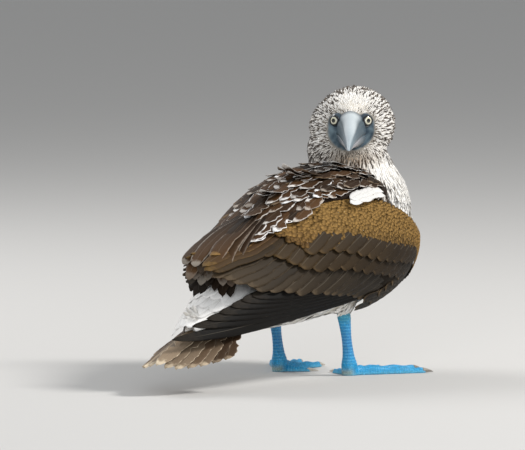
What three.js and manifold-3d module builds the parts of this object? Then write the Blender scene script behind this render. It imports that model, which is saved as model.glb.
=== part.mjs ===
// Blue-footed booby, a still life-size model: it stands on both webbed feet, body pitched up at the breast,
// wings folded, and looks back over its right shoulder. Millimetres. +X is forward, +Y its left, +Z up.
import * as THREE from "three";
import { mergeVertices } from "three/addons/utils/BufferGeometryUtils.js";
import Module from "manifold-3d";

const wasm = await Module();
wasm.setup();

// Driving dimensions. The model is laid out from the floor point midway between the two heels.
const NODE_GAP = 0.3;
const LEG_SPREAD = 82;
const HEEL_CUT_HEIGHT = 12;
const ANKLE_HEIGHT = 64;
const THIGH_FOOT_HEIGHT = 61;
const ANKLE_SETBACK = 13;
const TAIL_CUT_X = -168;
const HEAD_CENTRE = [62, -5, 245];
const HEAD_YAW_DEG = -150;
const HEAD_PITCH_DEG = -5;
const EYE_RADIUS = 8;
const EYE_PLACE = { ahead: 23.4, beside: 13.2, above: 8.5 };
const EYE_LOOK = { ahead: 0.82, beside: 0.55, above: 0.1 };
const BILL_TIP_AHEAD = 134;
const MOUTH_GAP = 0.6;

const COLOURS = {
  white: 0xf2efe9,
  streaked: 0xcfc4b4,
  brown: 0x6b5135,
  dark: 0x3a3029,
  tail: 0x9a8467,
  bill: 0x8fa3ad,
  iris: 0xe8dfa8,
  foot: 0x3aa6dc,
  claw: 0x8b8f90,
};

// A smooth function through [place, value] pairs, level beyond both ends.
function smoothThrough(pairs) {
  const last = pairs.length - 1;
  const slopes = pairs.map((_, i) => {
    const before = pairs[Math.max(i - 1, 0)];
    const after = pairs[Math.min(i + 1, last)];
    return (after[1] - before[1]) / (after[0] - before[0]);
  });
  return (place) => {
    if (place <= pairs[0][0]) return pairs[0][1];
    if (place >= pairs[last][0]) return pairs[last][1];
    const i = pairs.findIndex((pair) => pair[0] > place) - 1;
    const span = pairs[i + 1][0] - pairs[i][0];
    const t = (place - pairs[i][0]) / span;
    const rise = t * t * (3 - 2 * t);
    const leaving = t * (1 - t) * (1 - t) * span * slopes[i];
    const arriving = t * t * (t - 1) * span * slopes[i + 1];
    return pairs[i][1] * (1 - rise) + pairs[i + 1][1] * rise + leaving + arriving;
  };
}

const toRadians = THREE.MathUtils.degToRad;
const between = THREE.MathUtils.lerp;

// A geometry from a list of points and a list of triangles, turned so that its faces point out.
function geometryOf(points, triangles) {
  let volume = 0;
  for (const [a, b, c] of triangles) {
    volume += points[a].dot(new THREE.Vector3().crossVectors(points[b], points[c]));
  }
  const index = volume < 0 ? triangles.map(([a, b, c]) => [a, c, b]) : triangles;
  const geometry = new THREE.BufferGeometry().setFromPoints(points);
  return geometry.setIndex(index.flat());
}

// A closed solid through rings of equal point counts. Each end is closed with a fan to its middle.
function loft(rings) {
  const count = rings[0].length;
  const points = rings.flat();
  const triangles = [];
  for (let i = 0; i + 1 < rings.length; i += 1) {
    for (let j = 0; j < count; j += 1) {
      const a = i * count + j;
      const b = i * count + ((j + 1) % count);
      triangles.push([a, b, b + count], [a, b + count, a + count]);
    }
  }
  for (const [ring, start, turned] of [
    [rings[0], 0, true],
    [rings.at(-1), (rings.length - 1) * count, false],
  ]) {
    const middle = ring.reduce((sum, p) => sum.add(p), new THREE.Vector3()).divideScalar(count);
    const centre = points.push(middle) - 1;
    for (let j = 0; j < count; j += 1) {
      const a = start + j;
      const b = start + ((j + 1) % count);
      triangles.push(turned ? [b, a, centre] : [a, b, centre]);
    }
  }
  return geometryOf(points, triangles);
}

// A closed solid between two grids of points, with both faces split into triangles alike.
function slab(top, bottom) {
  const rows = top.length;
  const columns = top[0].length;
  const points = [...top.flat(), ...bottom.flat()];
  const under = rows * columns;
  const at = (i, j) => i * columns + j;
  const triangles = [];
  for (let i = 0; i + 1 < rows; i += 1) {
    for (let j = 0; j + 1 < columns; j += 1) {
      const [a, b, c, d] = [at(i, j), at(i + 1, j), at(i + 1, j + 1), at(i, j + 1)];
      triangles.push([a, b, c], [a, c, d]);
      triangles.push([a + under, c + under, b + under], [a + under, d + under, c + under]);
    }
  }
  const rim = [];
  for (let j = 0; j + 1 < columns; j += 1) rim.push([at(0, j), at(0, j + 1)]);
  for (let i = 0; i + 1 < rows; i += 1) rim.push([at(i, columns - 1), at(i + 1, columns - 1)]);
  for (let j = columns - 1; j > 0; j -= 1) rim.push([at(rows - 1, j), at(rows - 1, j - 1)]);
  for (let i = rows - 1; i > 0; i -= 1) rim.push([at(i, 0), at(i - 1, 0)]);
  for (const [a, b] of rim) triangles.push([a, b, b + under], [a, b + under, a + under]);
  return geometryOf(points, triangles);
}

// The solid that a closed geometry bounds.
function solidOf(geometry) {
  const bare = geometry.clone();
  bare.deleteAttribute("normal");
  bare.deleteAttribute("uv");
  const merged = mergeVertices(bare, 1e-4);
  const vertProperties = new Float32Array(merged.attributes.position.array);
  const triVerts = new Uint32Array(merged.index.array);
  return new wasm.Manifold(new wasm.Mesh({ numProp: 3, vertProperties, triVerts }));
}

// The largest closed surface of a solid, with any hollow that fusing sealed filled in.
function largestPiece(solid) {
  const pieces = solid.decompose();
  return pieces.reduce((best, piece) => (piece.volume() > best.volume() ? piece : best));
}

function union(solids) {
  return solids.reduce((sum, piece) => sum.add(piece));
}

// The part of a solid on the side of a plane that its normal points to.
function keepAbove(solid, normal, point) {
  const unit = new THREE.Vector3(...normal).normalize();
  return solid.trimByPlane(unit.toArray(), unit.dot(new THREE.Vector3(...point)));
}

function splitAt(solid, normal, point) {
  const unit = new THREE.Vector3(...normal).normalize();
  const half = unit.clone().multiplyScalar(NODE_GAP / 2);
  const place = new THREE.Vector3(...point);
  const above = keepAbove(solid, unit.toArray(), place.clone().add(half).toArray());
  const below = keepAbove(solid, unit.clone().negate().toArray(), place.clone().sub(half).toArray());
  return { above: largestPiece(above), below: largestPiece(below) };
}

const model = new THREE.Group();

// Adds one named node to the model from a solid.
function addNode(name, solid, colour, roughness = 0.85) {
  const mesh = solid.getMesh();
  const geometry = new THREE.BufferGeometry();
  geometry.setAttribute("position", new THREE.BufferAttribute(mesh.vertProperties, 3));
  geometry.setIndex(new THREE.BufferAttribute(mesh.triVerts, 1));
  geometry.computeVertexNormals();
  const material = new THREE.MeshStandardMaterial({ color: colour, roughness, metalness: 0 });
  const node = new THREE.Mesh(geometry, material);
  node.name = name;
  model.add(node);
}

// Torso from the breast to the rump, as heights and half widths along X.
const TORSO_FRONT_X = 137;
const TORSO_REAR_X = -224;
const TORSO_RINGS = 17;
const TORSO_SIDES = 18;
const torsoBack = smoothThrough([
  [-224, 74], [-200, 88], [-160, 108], [-110, 143], [-60, 172], [-10, 190],
  [40, 196], [85, 200], [115, 190], [137, 158],
]);
const torsoBelly = smoothThrough([
  [-224, 68], [-200, 62], [-160, 55], [-110, 51], [-50, 53], [0, 58],
  [40, 66], [85, 84], [115, 106], [137, 146],
]);
const torsoHalfWidth = smoothThrough([
  [-224, 6], [-200, 20], [-160, 34], [-110, 50], [-60, 61], [0, 67], [50, 66], [85, 60],
  [115, 43], [128, 28], [137, 7],
]);
const torsoWidest = smoothThrough([
  [-224, 71], [-160, 76], [-110, 88], [-60, 100], [0, 112], [60, 128], [100, 144], [137, 152],
]);

function torsoRing(x, swell) {
  const middle = torsoWidest(x);
  return Array.from({ length: TORSO_SIDES }, (_, i) => {
    const turn = (2 * Math.PI * i) / TORSO_SIDES;
    const height = Math.sin(turn) > 0 ? torsoBack(x) - middle : middle - torsoBelly(x);
    const side = (torsoHalfWidth(x) + swell) * Math.cos(turn);
    return new THREE.Vector3(x, side, middle + (height + swell) * Math.sin(turn));
  });
}

function torsoLoft(swell) {
  const middle = (TORSO_FRONT_X + TORSO_REAR_X) / 2;
  const half = (TORSO_FRONT_X - TORSO_REAR_X) / 2 + swell;
  const rings = Array.from({ length: TORSO_RINGS + 1 }, (_, i) => {
    const x = middle - half * Math.cos((Math.PI * i) / TORSO_RINGS);
    return torsoRing(x, swell);
  });
  return solidOf(loft(rings));
}

// Neck, as a column of level rings: its centre line and half sizes by height.
const NECK_FOOT_Z = 140;
const NECK_TOP_Z = 258;
const NECK_RINGS = 8;
const NECK_SIDES = 18;
const neckForward = smoothThrough([[140, 76], [185, 76], [208, 71], [228, 62], [258, 60]]);
const neckSideways = smoothThrough([[140, 0], [185, 1], [208, 2], [228, 1], [258, -3]]);
const neckHalfLength = smoothThrough([[140, 54], [170, 60], [190, 57], [208, 50], [228, 42], [258, 26]]);
const neckHalfWidth = smoothThrough([[140, 56], [170, 55], [190, 48], [208, 40], [228, 37], [258, 26]]);

function neckLoft(swell) {
  const rings = Array.from({ length: NECK_RINGS + 1 }, (_, i) => {
    const z = between(NECK_FOOT_Z, NECK_TOP_Z, i / NECK_RINGS);
    return Array.from({ length: NECK_SIDES }, (_, j) => {
      const turn = (2 * Math.PI * j) / NECK_SIDES;
      const x = neckForward(z) + (neckHalfLength(z) + swell) * Math.cos(turn);
      const y = neckSideways(z) + (neckHalfWidth(z) + swell) * Math.sin(turn);
      return new THREE.Vector3(x, y, z);
    });
  });
  return solidOf(loft(rings));
}

// The head's own frame: ahead along the bill, beside to the head's left, above through the crown.
const headFrame = new THREE.Matrix4()
  .makeTranslation(...HEAD_CENTRE)
  .multiply(new THREE.Matrix4().makeRotationZ(toRadians(HEAD_YAW_DEG)))
  .multiply(new THREE.Matrix4().makeRotationY(toRadians(-HEAD_PITCH_DEG)));

function headPoint(ahead, beside, above) {
  return new THREE.Vector3(ahead, beside, above).applyMatrix4(headFrame);
}

const HEAD_REAR = -54;
const HEAD_FRONT = 46;
const HEAD_RINGS = 13;
const HEAD_SIDES = 18;
const headHalfWidth = smoothThrough([
  [-54, 8], [-48, 24], [-34, 37], [-10, 43], [6, 39], [15, 32.5], [21, 26.5], [25, 21.5], [28, 17.2], [32, 13],
  [38, 11], [46, 8],
]);
const headRise = smoothThrough([
  [-54, 8], [-48, 20], [-34, 33], [-10, 38.5], [6, 35], [15, 30.5], [22, 26], [30, 21], [38, 17.5], [46, 14],
]);
const headDrop = smoothThrough([
  [-54, 8], [-48, 21], [-34, 34], [-10, 39], [6, 36], [15, 31], [22, 26], [30, 20.5], [38, 17.5], [46, 14],
]);
const CROWN_NARROWING = 0.1;
const CROWN_LEAN = 0.1;

function headLoft(swell) {
  const rings = Array.from({ length: HEAD_RINGS + 1 }, (_, i) => {
    const share = (1 - Math.cos((Math.PI * i) / HEAD_RINGS)) / 2;
    const ahead = between(HEAD_REAR - swell, HEAD_FRONT + swell, share);
    return Array.from({ length: HEAD_SIDES }, (_, j) => {
      const turn = (2 * Math.PI * j) / HEAD_SIDES;
      const height = Math.sin(turn) > 0 ? headRise(ahead) : headDrop(ahead);
      const crown = Math.max(Math.sin(turn), 0) * (1 - Math.max(ahead / HEAD_FRONT, 0));
      const narrowed = (headHalfWidth(ahead) + swell) * (1 - CROWN_NARROWING * crown);
      const beside = narrowed * Math.cos(turn) + CROWN_LEAN * height * crown;
      return headPoint(ahead, beside, (height + swell) * Math.sin(turn));
    });
  });
  return solidOf(loft(rings));
}

// The feathered body in one piece, from which the head, neck, torso and tail base are parted.
function wholeBody(swell) {
  return union([torsoLoft(swell), neckLoft(swell), headLoft(swell)]);
}

// Bill: both mandibles in the head's frame, as heights and half widths along the bill.
const BILL_REAR = 24;
const BILL_RINGS = 9;
const BILL_ARC_POINTS = 8;
const culmen = smoothThrough([
  [22, 22], [36, 19], [50, 16.5], [70, 12.5], [95, 7], [115, 2.2], [127, -1.6], [134, -5.6],
]);
const mouthLine = smoothThrough([[20, -4.5], [60, -3.8], [100, -3.6], [134, -6.2]]);
const billUnderside = smoothThrough([[22, -20], [36, -18], [55, -15], [80, -11.5], [110, -8.4], [131, -6.6]]);
const billHalfWidth = smoothThrough([[22, 16.5], [32, 15], [42, 12.6], [60, 10], [85, 7.2], [108, 4.6], [126, 2.4], [134, 1]]);

// One mandible: a flat mouth side and an arched outer side.
function mandible(tip, outer, mouthShift) {
  const rings = Array.from({ length: BILL_RINGS + 1 }, (_, i) => {
    const ahead = between(BILL_REAR, tip, i / BILL_RINGS);
    const mouth = mouthLine(ahead) + mouthShift;
    return Array.from({ length: BILL_ARC_POINTS }, (_, j) => {
      const turn = (Math.PI * j) / (BILL_ARC_POINTS - 1);
      const arch = Math.pow(Math.sin(turn), 0.8);
      return headPoint(ahead, billHalfWidth(ahead) * Math.cos(turn), between(mouth, outer(ahead), arch));
    });
  });
  return solidOf(loft(rings));
}

// The long groove below the culmen on each side of the upper mandible.
function billGroove(side) {
  const rings = [34, 50, 70, 90, 108].map((ahead, i) => {
    const width = billHalfWidth(ahead);
    const height = between(mouthLine(ahead), culmen(ahead), 0.62);
    const half = [0.3, 0.7, 0.7, 0.6, 0.2][i];
    const inner = side * width * 0.66;
    const outer = side * (width + 3);
    return [
      headPoint(ahead, inner, height),
      headPoint(ahead, outer, height + half * 2.4),
      headPoint(ahead, outer, height - half * 2.4),
    ];
  });
  return solidOf(loft(rings));
}

// Eyes: a ball in each socket, with a raised ring of bare lid round it.
const LID_RING_RADIUS = 6.3;
const LID_THICKNESS = 1.5;

function eyeCentre(side) {
  return headPoint(EYE_PLACE.ahead, side * EYE_PLACE.beside, EYE_PLACE.above);
}

function eyeBall(side, radius) {
  const ball = new THREE.IcosahedronGeometry(radius, 2);
  ball.translate(...eyeCentre(side).toArray());
  return solidOf(ball);
}

function eyeLid(side, thickness) {
  const look = new THREE.Vector3(EYE_LOOK.ahead, side * EYE_LOOK.beside, EYE_LOOK.above).normalize();
  look.transformDirection(headFrame);
  const depth = Math.sqrt(EYE_RADIUS * EYE_RADIUS - LID_RING_RADIUS * LID_RING_RADIUS);
  const ring = new THREE.TorusGeometry(LID_RING_RADIUS, thickness, 4, 14);
  ring.applyQuaternion(new THREE.Quaternion().setFromUnitVectors(new THREE.Vector3(0, 0, 1), look));
  ring.translate(...eyeCentre(side).addScaledVector(look, depth).toArray());
  return solidOf(ring);
}

// The slit of the mouth where it runs back past the bill into the cheeks.
function gapeSlit() {
  const rings = [14, 60].map((ahead) => {
    const height = mouthLine(ahead);
    return [
      headPoint(ahead, -30, height + MOUTH_GAP / 2),
      headPoint(ahead, 30, height + MOUTH_GAP / 2),
      headPoint(ahead, 30, height - MOUTH_GAP / 2),
      headPoint(ahead, -30, height - MOUTH_GAP / 2),
    ];
  });
  const slit = solidOf(loft(rings));
  const core = [10, 60].map((ahead) => {
    return Array.from({ length: 12 }, (_, j) => {
      const turn = (2 * Math.PI * j) / 12;
      const reach = Math.max(headHalfWidth(ahead) - 2.2, 8);
      return headPoint(ahead, reach * Math.cos(turn), reach * Math.sin(turn));
    });
  });
  return slit.subtract(solidOf(loft(core)));
}

const body = wholeBody(0);
const bodyClear = wholeBody(NODE_GAP);
const neckCut = { normal: [-0.2, 0, 1], point: [75, 0, 192] };
const headCut = { normal: [0.3, 0.15, 1], point: [60, -5, 222] };
const tailCut = { normal: [1, 0, 0], point: [TAIL_CUT_X, 0, 80] };

const bodyAtTail = splitAt(body, tailCut.normal, tailCut.point);
const bodyAtNeck = splitAt(bodyAtTail.above, neckCut.normal, neckCut.point);
const bodyAtHead = splitAt(bodyAtNeck.above, headCut.normal, headCut.point);

// The plumage surface over the folded wings and the back, as an egg-shaped section at each X.
const plumageMiddle = smoothThrough([
  [-240, 64], [-200, 73], [-160, 82], [-110, 95], [-60, 107], [0, 118], [60, 128], [98, 132],
]);
const plumageRise = smoothThrough([
  [-240, 58], [-200, 64], [-160, 62], [-110, 72], [-60, 82], [0, 84], [40, 76], [70, 62], [98, 44],
]);
const plumageDrop = smoothThrough([
  [-240, 16], [-200, 26], [-160, 36], [-110, 48], [-60, 57], [0, 66], [60, 66], [98, 52],
]);
const plumageHalfWidth = smoothThrough([
  [-240, 40], [-200, 47], [-160, 56], [-110, 67], [-60, 78], [0, 85], [40, 84], [70, 77], [98, 64],
]);

// A point over the plumage: around is in degrees from the ridge of the back, positive to the bird's right.
function plumagePoint(x, around, lift) {
  const base = (place, degrees) => {
    const turn = toRadians(degrees);
    const height = Math.cos(turn) > 0 ? plumageRise(place) : plumageDrop(place);
    const y = -plumageHalfWidth(place) * Math.sin(turn);
    return new THREE.Vector3(place, y, plumageMiddle(place) + height * Math.cos(turn));
  };
  const along = base(x + 0.5, around).sub(base(x - 0.5, around));
  const across = base(x, around + 0.5).sub(base(x, around - 0.5));
  return base(x, around).addScaledVector(across.cross(along).normalize(), lift);
}

// The place on the plumage that lies straight under or over a point, at the given lift.
function ontoPlumage(point, lift) {
  const beside = -point.y / plumageHalfWidth(point.x);
  const rise = point.z - plumageMiddle(point.x);
  const height = rise > 0 ? plumageRise(point.x) : plumageDrop(point.x);
  return plumagePoint(point.x, THREE.MathUtils.radToDeg(Math.atan2(beside, rise / height)), lift);
}

// A feather vane as a thin closed slab that is widest past its middle. Its path runs from the root at 0 to the
// tip at 1, and settle() lays a point on the surface that it follows, at a lift. One edge is tilted up over
// the next vane below it.
const VANE_THICKNESS = 0.6;
const VANE_TILT = 1.1;
const LONG_VANE = [[0, 0.35], [0.3, 0.9], [0.62, 1], [0.88, 0.8], [1, 0.25]];
const SHORT_VANE = [[0, 0.35], [0.5, 1], [0.84, 0.86], [1, 0.3]];

function vane({ path, settle, halfWidth, lift, side, outline = LONG_VANE, tilt = VANE_TILT }) {
  const faces = outline.map(([t, width]) => {
    const here = settle(path(t), 0);
    const outward = settle(path(t), 1).sub(here).normalize();
    const along = settle(path(Math.min(t + 0.04, 1)), 0).sub(settle(path(Math.max(t - 0.04, 0)), 0));
    const across = outward.clone().cross(along).normalize().multiplyScalar(side);
    return [-1, 1].map((edge) => {
      const spot = here.clone().addScaledVector(across, edge * halfWidth * width);
      return [settle(spot, lift(t) + tilt * edge), outward];
    });
  });
  const grid = (shift) => faces.map((row) => row.map(([p, out]) => p.clone().addScaledVector(out, shift)));
  return solidOf(slab(grid(VANE_THICKNESS / 2), grid(-VANE_THICKNESS / 2)));
}

// A seeded draw, so that feathers vary a little and always in the same way.
function seededDraw(seed) {
  let state = seed;
  return (low, high) => {
    state = (state * 1664525 + 1013904223) % 4294967296;
    return low + ((high - low) * state) / 4294967296;
  };
}

// The row of a tier of feathers: root and tip of each feather from the first to the last, in X and degrees.
function plumageTier({ rootX, rootAround, tipX, tipAround, count, side, draw, tuck = 0, ...shape }) {
  return Array.from({ length: count }, (_, i) => {
    const share = count > 1 ? i / (count - 1) : 0;
    const forward = (x) => x + tuck * Math.pow(Math.max(60 - x, 0) / 290, 2);
    const root = [forward(rootX(share)), rootAround(share)];
    const tip = [forward(tipX(share) + draw(-2, 2)), tipAround(share) + draw(-0.6, 0.6)];
    const path = (t) => plumagePoint(between(root[0], tip[0], t), side * between(root[1], tip[1], t), 0);
    return vane({ path, settle: ontoPlumage, side, ...shape });
  });
}

// The folded wing: a fleshy front part under smooth lesser coverts carries the tiers of long feathers.
const WING_FRONT_X = 97;
const WING_CORE_REAR_X = -142;
const WING_CORE_ROWS = 12;
const WING_CORE_COLUMNS = 7;
const LEFT_WING_TUCK = 25;
const wingTopEdge = smoothThrough([[-142, 20], [-100, 27], [-50, 36], [0, 47], [42, 60], [80, 76], [97, 86]]);
const wingCoreEdge = smoothThrough([
  [-142, 34], [-120, 56], [-80, 76], [-40, 94], [-6, 118], [14, 140], [50, 150], [82, 145], [91, 132], [97, 106],
]);
const wingCoreThickness = smoothThrough([[-142, 3], [-100, 9], [-60, 15], [60, 18], [97, 10]]);
const wingCoreLift = smoothThrough([[0, 0.2], [0.55, 0], [0.75, -2.2], [1, -4.5]]);
const wingCoreFrontLift = smoothThrough([[0, 0.2], [0.7, 0], [1, -1]]);

function wingCore(side, tuck) {
  const grid = (depth) =>
    Array.from({ length: WING_CORE_ROWS + 1 }, (_, i) => {
      const place = between(WING_CORE_REAR_X, WING_FRONT_X, i / WING_CORE_ROWS);
      const x = place + tuck * Math.pow(Math.max(60 - place, 0) / 290, 2);
      const frontShare = THREE.MathUtils.smoothstep(place, 0, 50);
      return Array.from({ length: WING_CORE_COLUMNS + 1 }, (_, j) => {
        const share = j / WING_CORE_COLUMNS;
        const around = between(wingTopEdge(place), wingCoreEdge(place), share);
        const lift = between(wingCoreLift(share), wingCoreFrontLift(share), frontShare);
        const edge = Math.sqrt(Math.max(1 - Math.pow(2 * share - 1, 4), 0));
        return plumagePoint(x, side * around, lift - Math.max(wingCoreThickness(place) * edge, 1.2) * depth);
      });
    });
  return solidOf(slab(grid(0), grid(1)));
}

// The tiers, from the lowest layer outwards. A share of 0 is a tier's front feather and 1 its rear one.
function secondaries(side, tuck, draw) {
  return plumageTier({
    rootX: smoothThrough([[0, 66], [0.33, -20], [0.66, -80], [1, -98]]),
    rootAround: smoothThrough([[0, 92], [0.33, 73], [0.66, 63], [1, 32]]),
    tipX: smoothThrough([[0, -22], [0.1, -45], [0.36, -93], [0.66, -171], [0.82, -200], [1, -229]]),
    tipAround: smoothThrough([[0, 127], [0.1, 119], [0.36, 103], [0.66, 73], [0.82, 59], [1, 38]]),
    count: 9, side, tuck, draw, halfWidth: 12.5, tilt: 1.4, lift: (t) => between(-8, -4.4, Math.min(t * 2.2, 1)),
  });
}

function greaterCoverts(side, tuck, draw) {
  return plumageTier({
    rootX: smoothThrough([[0, 60], [0.5, -26], [1, -108]]),
    rootAround: smoothThrough([[0, 96], [0.5, 74], [1, 32]]),
    tipX: smoothThrough([[0, 22], [0.4, -52], [0.75, -122], [1, -158]]),
    tipAround: smoothThrough([[0, 108], [0.4, 87], [0.75, 69], [1, 38]]),
    count: 8, side, tuck, draw, outline: SHORT_VANE, halfWidth: 14, tilt: 1, lift: (t) => between(-4.8, -1, Math.min(t * 2, 1)),
  });
}

function medianCoverts(side, tuck, draw) {
  return plumageTier({
    rootX: smoothThrough([[0, 72], [0.5, 14], [1, -52]]),
    rootAround: smoothThrough([[0, 86], [0.5, 72], [1, 54]]),
    tipX: smoothThrough([[0, 44], [0.5, -22], [1, -94]]),
    tipAround: smoothThrough([[0, 97], [0.5, 86], [1, 66]]),
    count: 5, side, tuck, draw, outline: SHORT_VANE, halfWidth: 17, tilt: 0.8, lift: (t) => between(-2.5, 1.4, Math.min(t * 1.8, 1)),
  });
}

function tertials(side, tuck, draw) {
  return plumageTier({
    rootX: smoothThrough([[0, -96], [1, -92]]),
    rootAround: smoothThrough([[0, 34], [1, 22]]),
    tipX: smoothThrough([[0, -228], [0.5, -235], [1, -216]]),
    tipAround: smoothThrough([[0, 31], [0.5, 20], [1, 13]]),
    count: 3, side, tuck, draw, halfWidth: 8.5, tilt: 0.9, lift: (t) => between(-3.5, -0.6, Math.min(t * 2, 1)),
  });
}

// The primaries' blade, as heights and distance from the midline along X. The left one hangs lower and shorter.
const PRIMARY_COUNT = 6;
const PRIMARY_ROOT_X = 34;
const PRIMARY_STEP = 0.95;
const bladeTop = smoothThrough([[-282, 53], [-262, 67], [-227, 82], [-186, 97], [-120, 108], [40, 108]]);
const bladeBottom = smoothThrough([[-282, 51], [-218, 55], [-177, 60], [-121, 67], [-58, 72], [0, 76], [40, 84]]);
const bladeOffset = smoothThrough([[-282, 14], [-255, 27], [-218, 39], [-177, 47], [-121, 54], [-60, 61], [0, 68], [40, 74]]);
const bladeLean = smoothThrough([[-200, 8], [-60, 0]]);
const LEFT_BLADE_DROOP = 29;
const LEFT_BLADE_SHARE = 0.66;

function ontoBlade(side) {
  return (point, lift) => {
    const share = THREE.MathUtils.clamp((bladeTop(point.x) - point.z) / 44, 0, 1);
    const bulge = 5 * Math.sin(Math.PI * share) - bladeLean(point.x) * (1 - share);
    return new THREE.Vector3(point.x, -side * (bladeOffset(point.x) + bulge + lift), point.z);
  };
}

function primaries(side) {
  const settle = ontoBlade(side);
  return Array.from({ length: PRIMARY_COUNT }, (_, i) => {
    const order = i / (PRIMARY_COUNT - 1);
    const tipX = between(-282, -184, Math.pow(order, 0.85)) + (side < 0 ? LEFT_WING_TUCK * 1.4 : 0);
    const droop = (x) => (side < 0 ? LEFT_BLADE_DROOP * Math.pow(Math.max(20 - x, 0) / 210, 1.2) : 0);
    const halfWidth = between(9, 11, order);
    const rootZ = bladeBottom(PRIMARY_ROOT_X) + 8 + 18 * order;
    const spread = (bladeTop(tipX) - bladeBottom(tipX)) * (side < 0 ? LEFT_BLADE_SHARE : 1);
    const tipZ = bladeBottom(tipX) + Math.max(spread - halfWidth * 0.6, 1);
    const path = (t) => {
      const x = between(PRIMARY_ROOT_X, tipX, t);
      return settle(new THREE.Vector3(x, 0, between(rootZ, tipZ, t) - droop(x)), 0);
    };
    const lift = (t) => between(-8, -5, Math.min(2 * t, 1)) + PRIMARY_STEP * i;
    return vane({ path, settle, halfWidth, lift, side, tilt: 0.5 });
  });
}

// The wings stay under the mantle's feathers, clear of the body, and each on its own side of the midline.
const SADDLE_LIFT = 1.6;
const saddleEdge = smoothThrough([[-245, 30], [-178, 42], [-104, 50], [-42, 55], [35, 55], [70, 40]]);

function saddle(low, high) {
  const grid = (lift) =>
    Array.from({ length: 19 }, (_, i) => {
      const x = between(-245, 70, i / 18);
      return Array.from({ length: 13 }, (_, j) => plumagePoint(x, saddleEdge(x) * between(-1, 1, j / 12), lift));
    });
  return solidOf(slab(grid(high), grid(low)));
}

function wing(side) {
  const tuck = side < 0 ? LEFT_WING_TUCK : 0;
  const draw = seededDraw(11);
  const feathers = [
    ...primaries(side), ...secondaries(side, tuck, draw), ...greaterCoverts(side, tuck, draw),
    ...medianCoverts(side, tuck, draw), ...tertials(side, tuck, draw),
  ];
  const whole = union([wingCore(side, tuck), ...feathers]).subtract(bodyClear);
  const halved = keepAbove(whole, [0, -side, 0], [0, (-side * NODE_GAP) / 2, 0]);
  return largestPiece(halved.subtract(saddle(SADDLE_LIFT - NODE_GAP, 30)));
}

// The mantle: a thin cape over the shoulders that carries three tiers of shoulder feathers, some ruffled up.
const CAPE_FRONT_X = 60;
const CAPE_REAR_X = -150;
const capeEdge = smoothThrough([[-150, 20], [-110, 27], [-60, 35], [0, 45], [35, 46], [60, 22]]);
const capeLift = smoothThrough([[-150, 3], [-80, 3.6], [0, 5], [60, 4]]);
const RUFFLE_LIFT = 5;

function cape() {
  const grid = (share) =>
    Array.from({ length: 10 }, (_, i) => {
      const x = between(CAPE_REAR_X, CAPE_FRONT_X, i / 9);
      return Array.from({ length: 7 }, (_, j) => {
        const around = between(-capeEdge(x), capeEdge(x), j / 6);
        return plumagePoint(x, around, between(SADDLE_LIFT, capeLift(x), share));
      });
    });
  return solidOf(slab(grid(1), grid(0)));
}

const SHOULDER_TIERS = [
  { count: 3, rootX: [-70, -100], tipX: [-178, -212], around: [30, 8], halfWidth: 11.5, lift: 3.9 },
  { count: 3, rootX: [-14, -50], tipX: [-104, -156], around: [37, 10], halfWidth: 15, lift: 5.9 },
  { count: 3, rootX: [38, 20], tipX: [-42, -84], around: [42, 11], halfWidth: 17, lift: 8 },
];

function shoulderFeathers(side, draw) {
  return SHOULDER_TIERS.flatMap(({ count, rootX, tipX, around, halfWidth, lift }) =>
    Array.from({ length: count }, (_, i) => {
      const share = i / (count - 1);
      const root = [between(...rootX, share), between(...around, share) * 0.9];
      const tip = [between(...tipX, share) + draw(-5, 5), between(...around, share) + draw(-1.5, 1.5)];
      const ruffle = RUFFLE_LIFT * share * share;
      const height = (t) => between(2.6, lift, Math.min(t * 3, 1)) + ruffle * t * t * t;
      const path = (t) => plumagePoint(between(root[0], tip[0], t), side * between(root[1], tip[1], t), 0);
      return vane({ path, settle: ontoPlumage, side, halfWidth, outline: SHORT_VANE, lift: height, tilt: 0.75 });
    }),
  );
}

function mantle() {
  const draw = seededDraw(29);
  const feathers = [...shoulderFeathers(1, draw), ...shoulderFeathers(-1, draw)];
  return largestPiece(union([cape(), ...feathers]).subtract(bodyClear));
}

// The tail: graduated feathers in a low roof, the middle pair on top, with long white coverts over their base.
const TAIL_ROOT = { x: -173, y: 2, z: 78 };
const TAIL_PAIRS = 6;
const tailTipX = smoothThrough([[0, -299], [1, -295], [2, -287], [3, -271], [4, -253], [5, -236]]);
const tailTipSide = smoothThrough([[0, 4.5], [1, 13], [2, 22], [5, 42]]);
const tailTipZ = smoothThrough([[0, 29], [1, 28], [2, 27.5], [3, 30], [5, 38]]);
const TAIL_COVERTS = [
  { rootY: 0, tip: [-243, 0, 62], middle: [-210, 0, 85], halfWidth: 13 },
  { rootY: 11, tip: [-240, 15, 57], middle: [-206, 12, 80], halfWidth: 11 },
  { rootY: -11, tip: [-240, -15, 57], middle: [-206, -12, 80], halfWidth: 11 },
];

// Lays a feather flat to its own roof slope instead of on a surface.
function ontoRoof(slope) {
  const outward = new THREE.Vector3(-0.36, slope, 1).normalize();
  return (point, lift) => point.clone().addScaledVector(outward, lift);
}

function tailFeathers() {
  return [1, -1].flatMap((side) =>
    Array.from({ length: TAIL_PAIRS }, (_, k) => {
      const root = new THREE.Vector3(TAIL_ROOT.x, -side * (TAIL_ROOT.y + 3.2 * k), TAIL_ROOT.z - 1.7 * k);
      const tip = new THREE.Vector3(tailTipX(k), -side * tailTipSide(k), tailTipZ(k) - k * 0.8);
      const path = (t) => root.clone().lerp(tip, t);
      const lift = (t) => (side > 0 && k === 0 ? 1.8 : 0) * Math.min(2 * t, 1);
      return vane({ path, settle: ontoRoof(-side * 0.5), side, halfWidth: 10, lift, tilt: 1 });
    }),
  );
}

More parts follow.
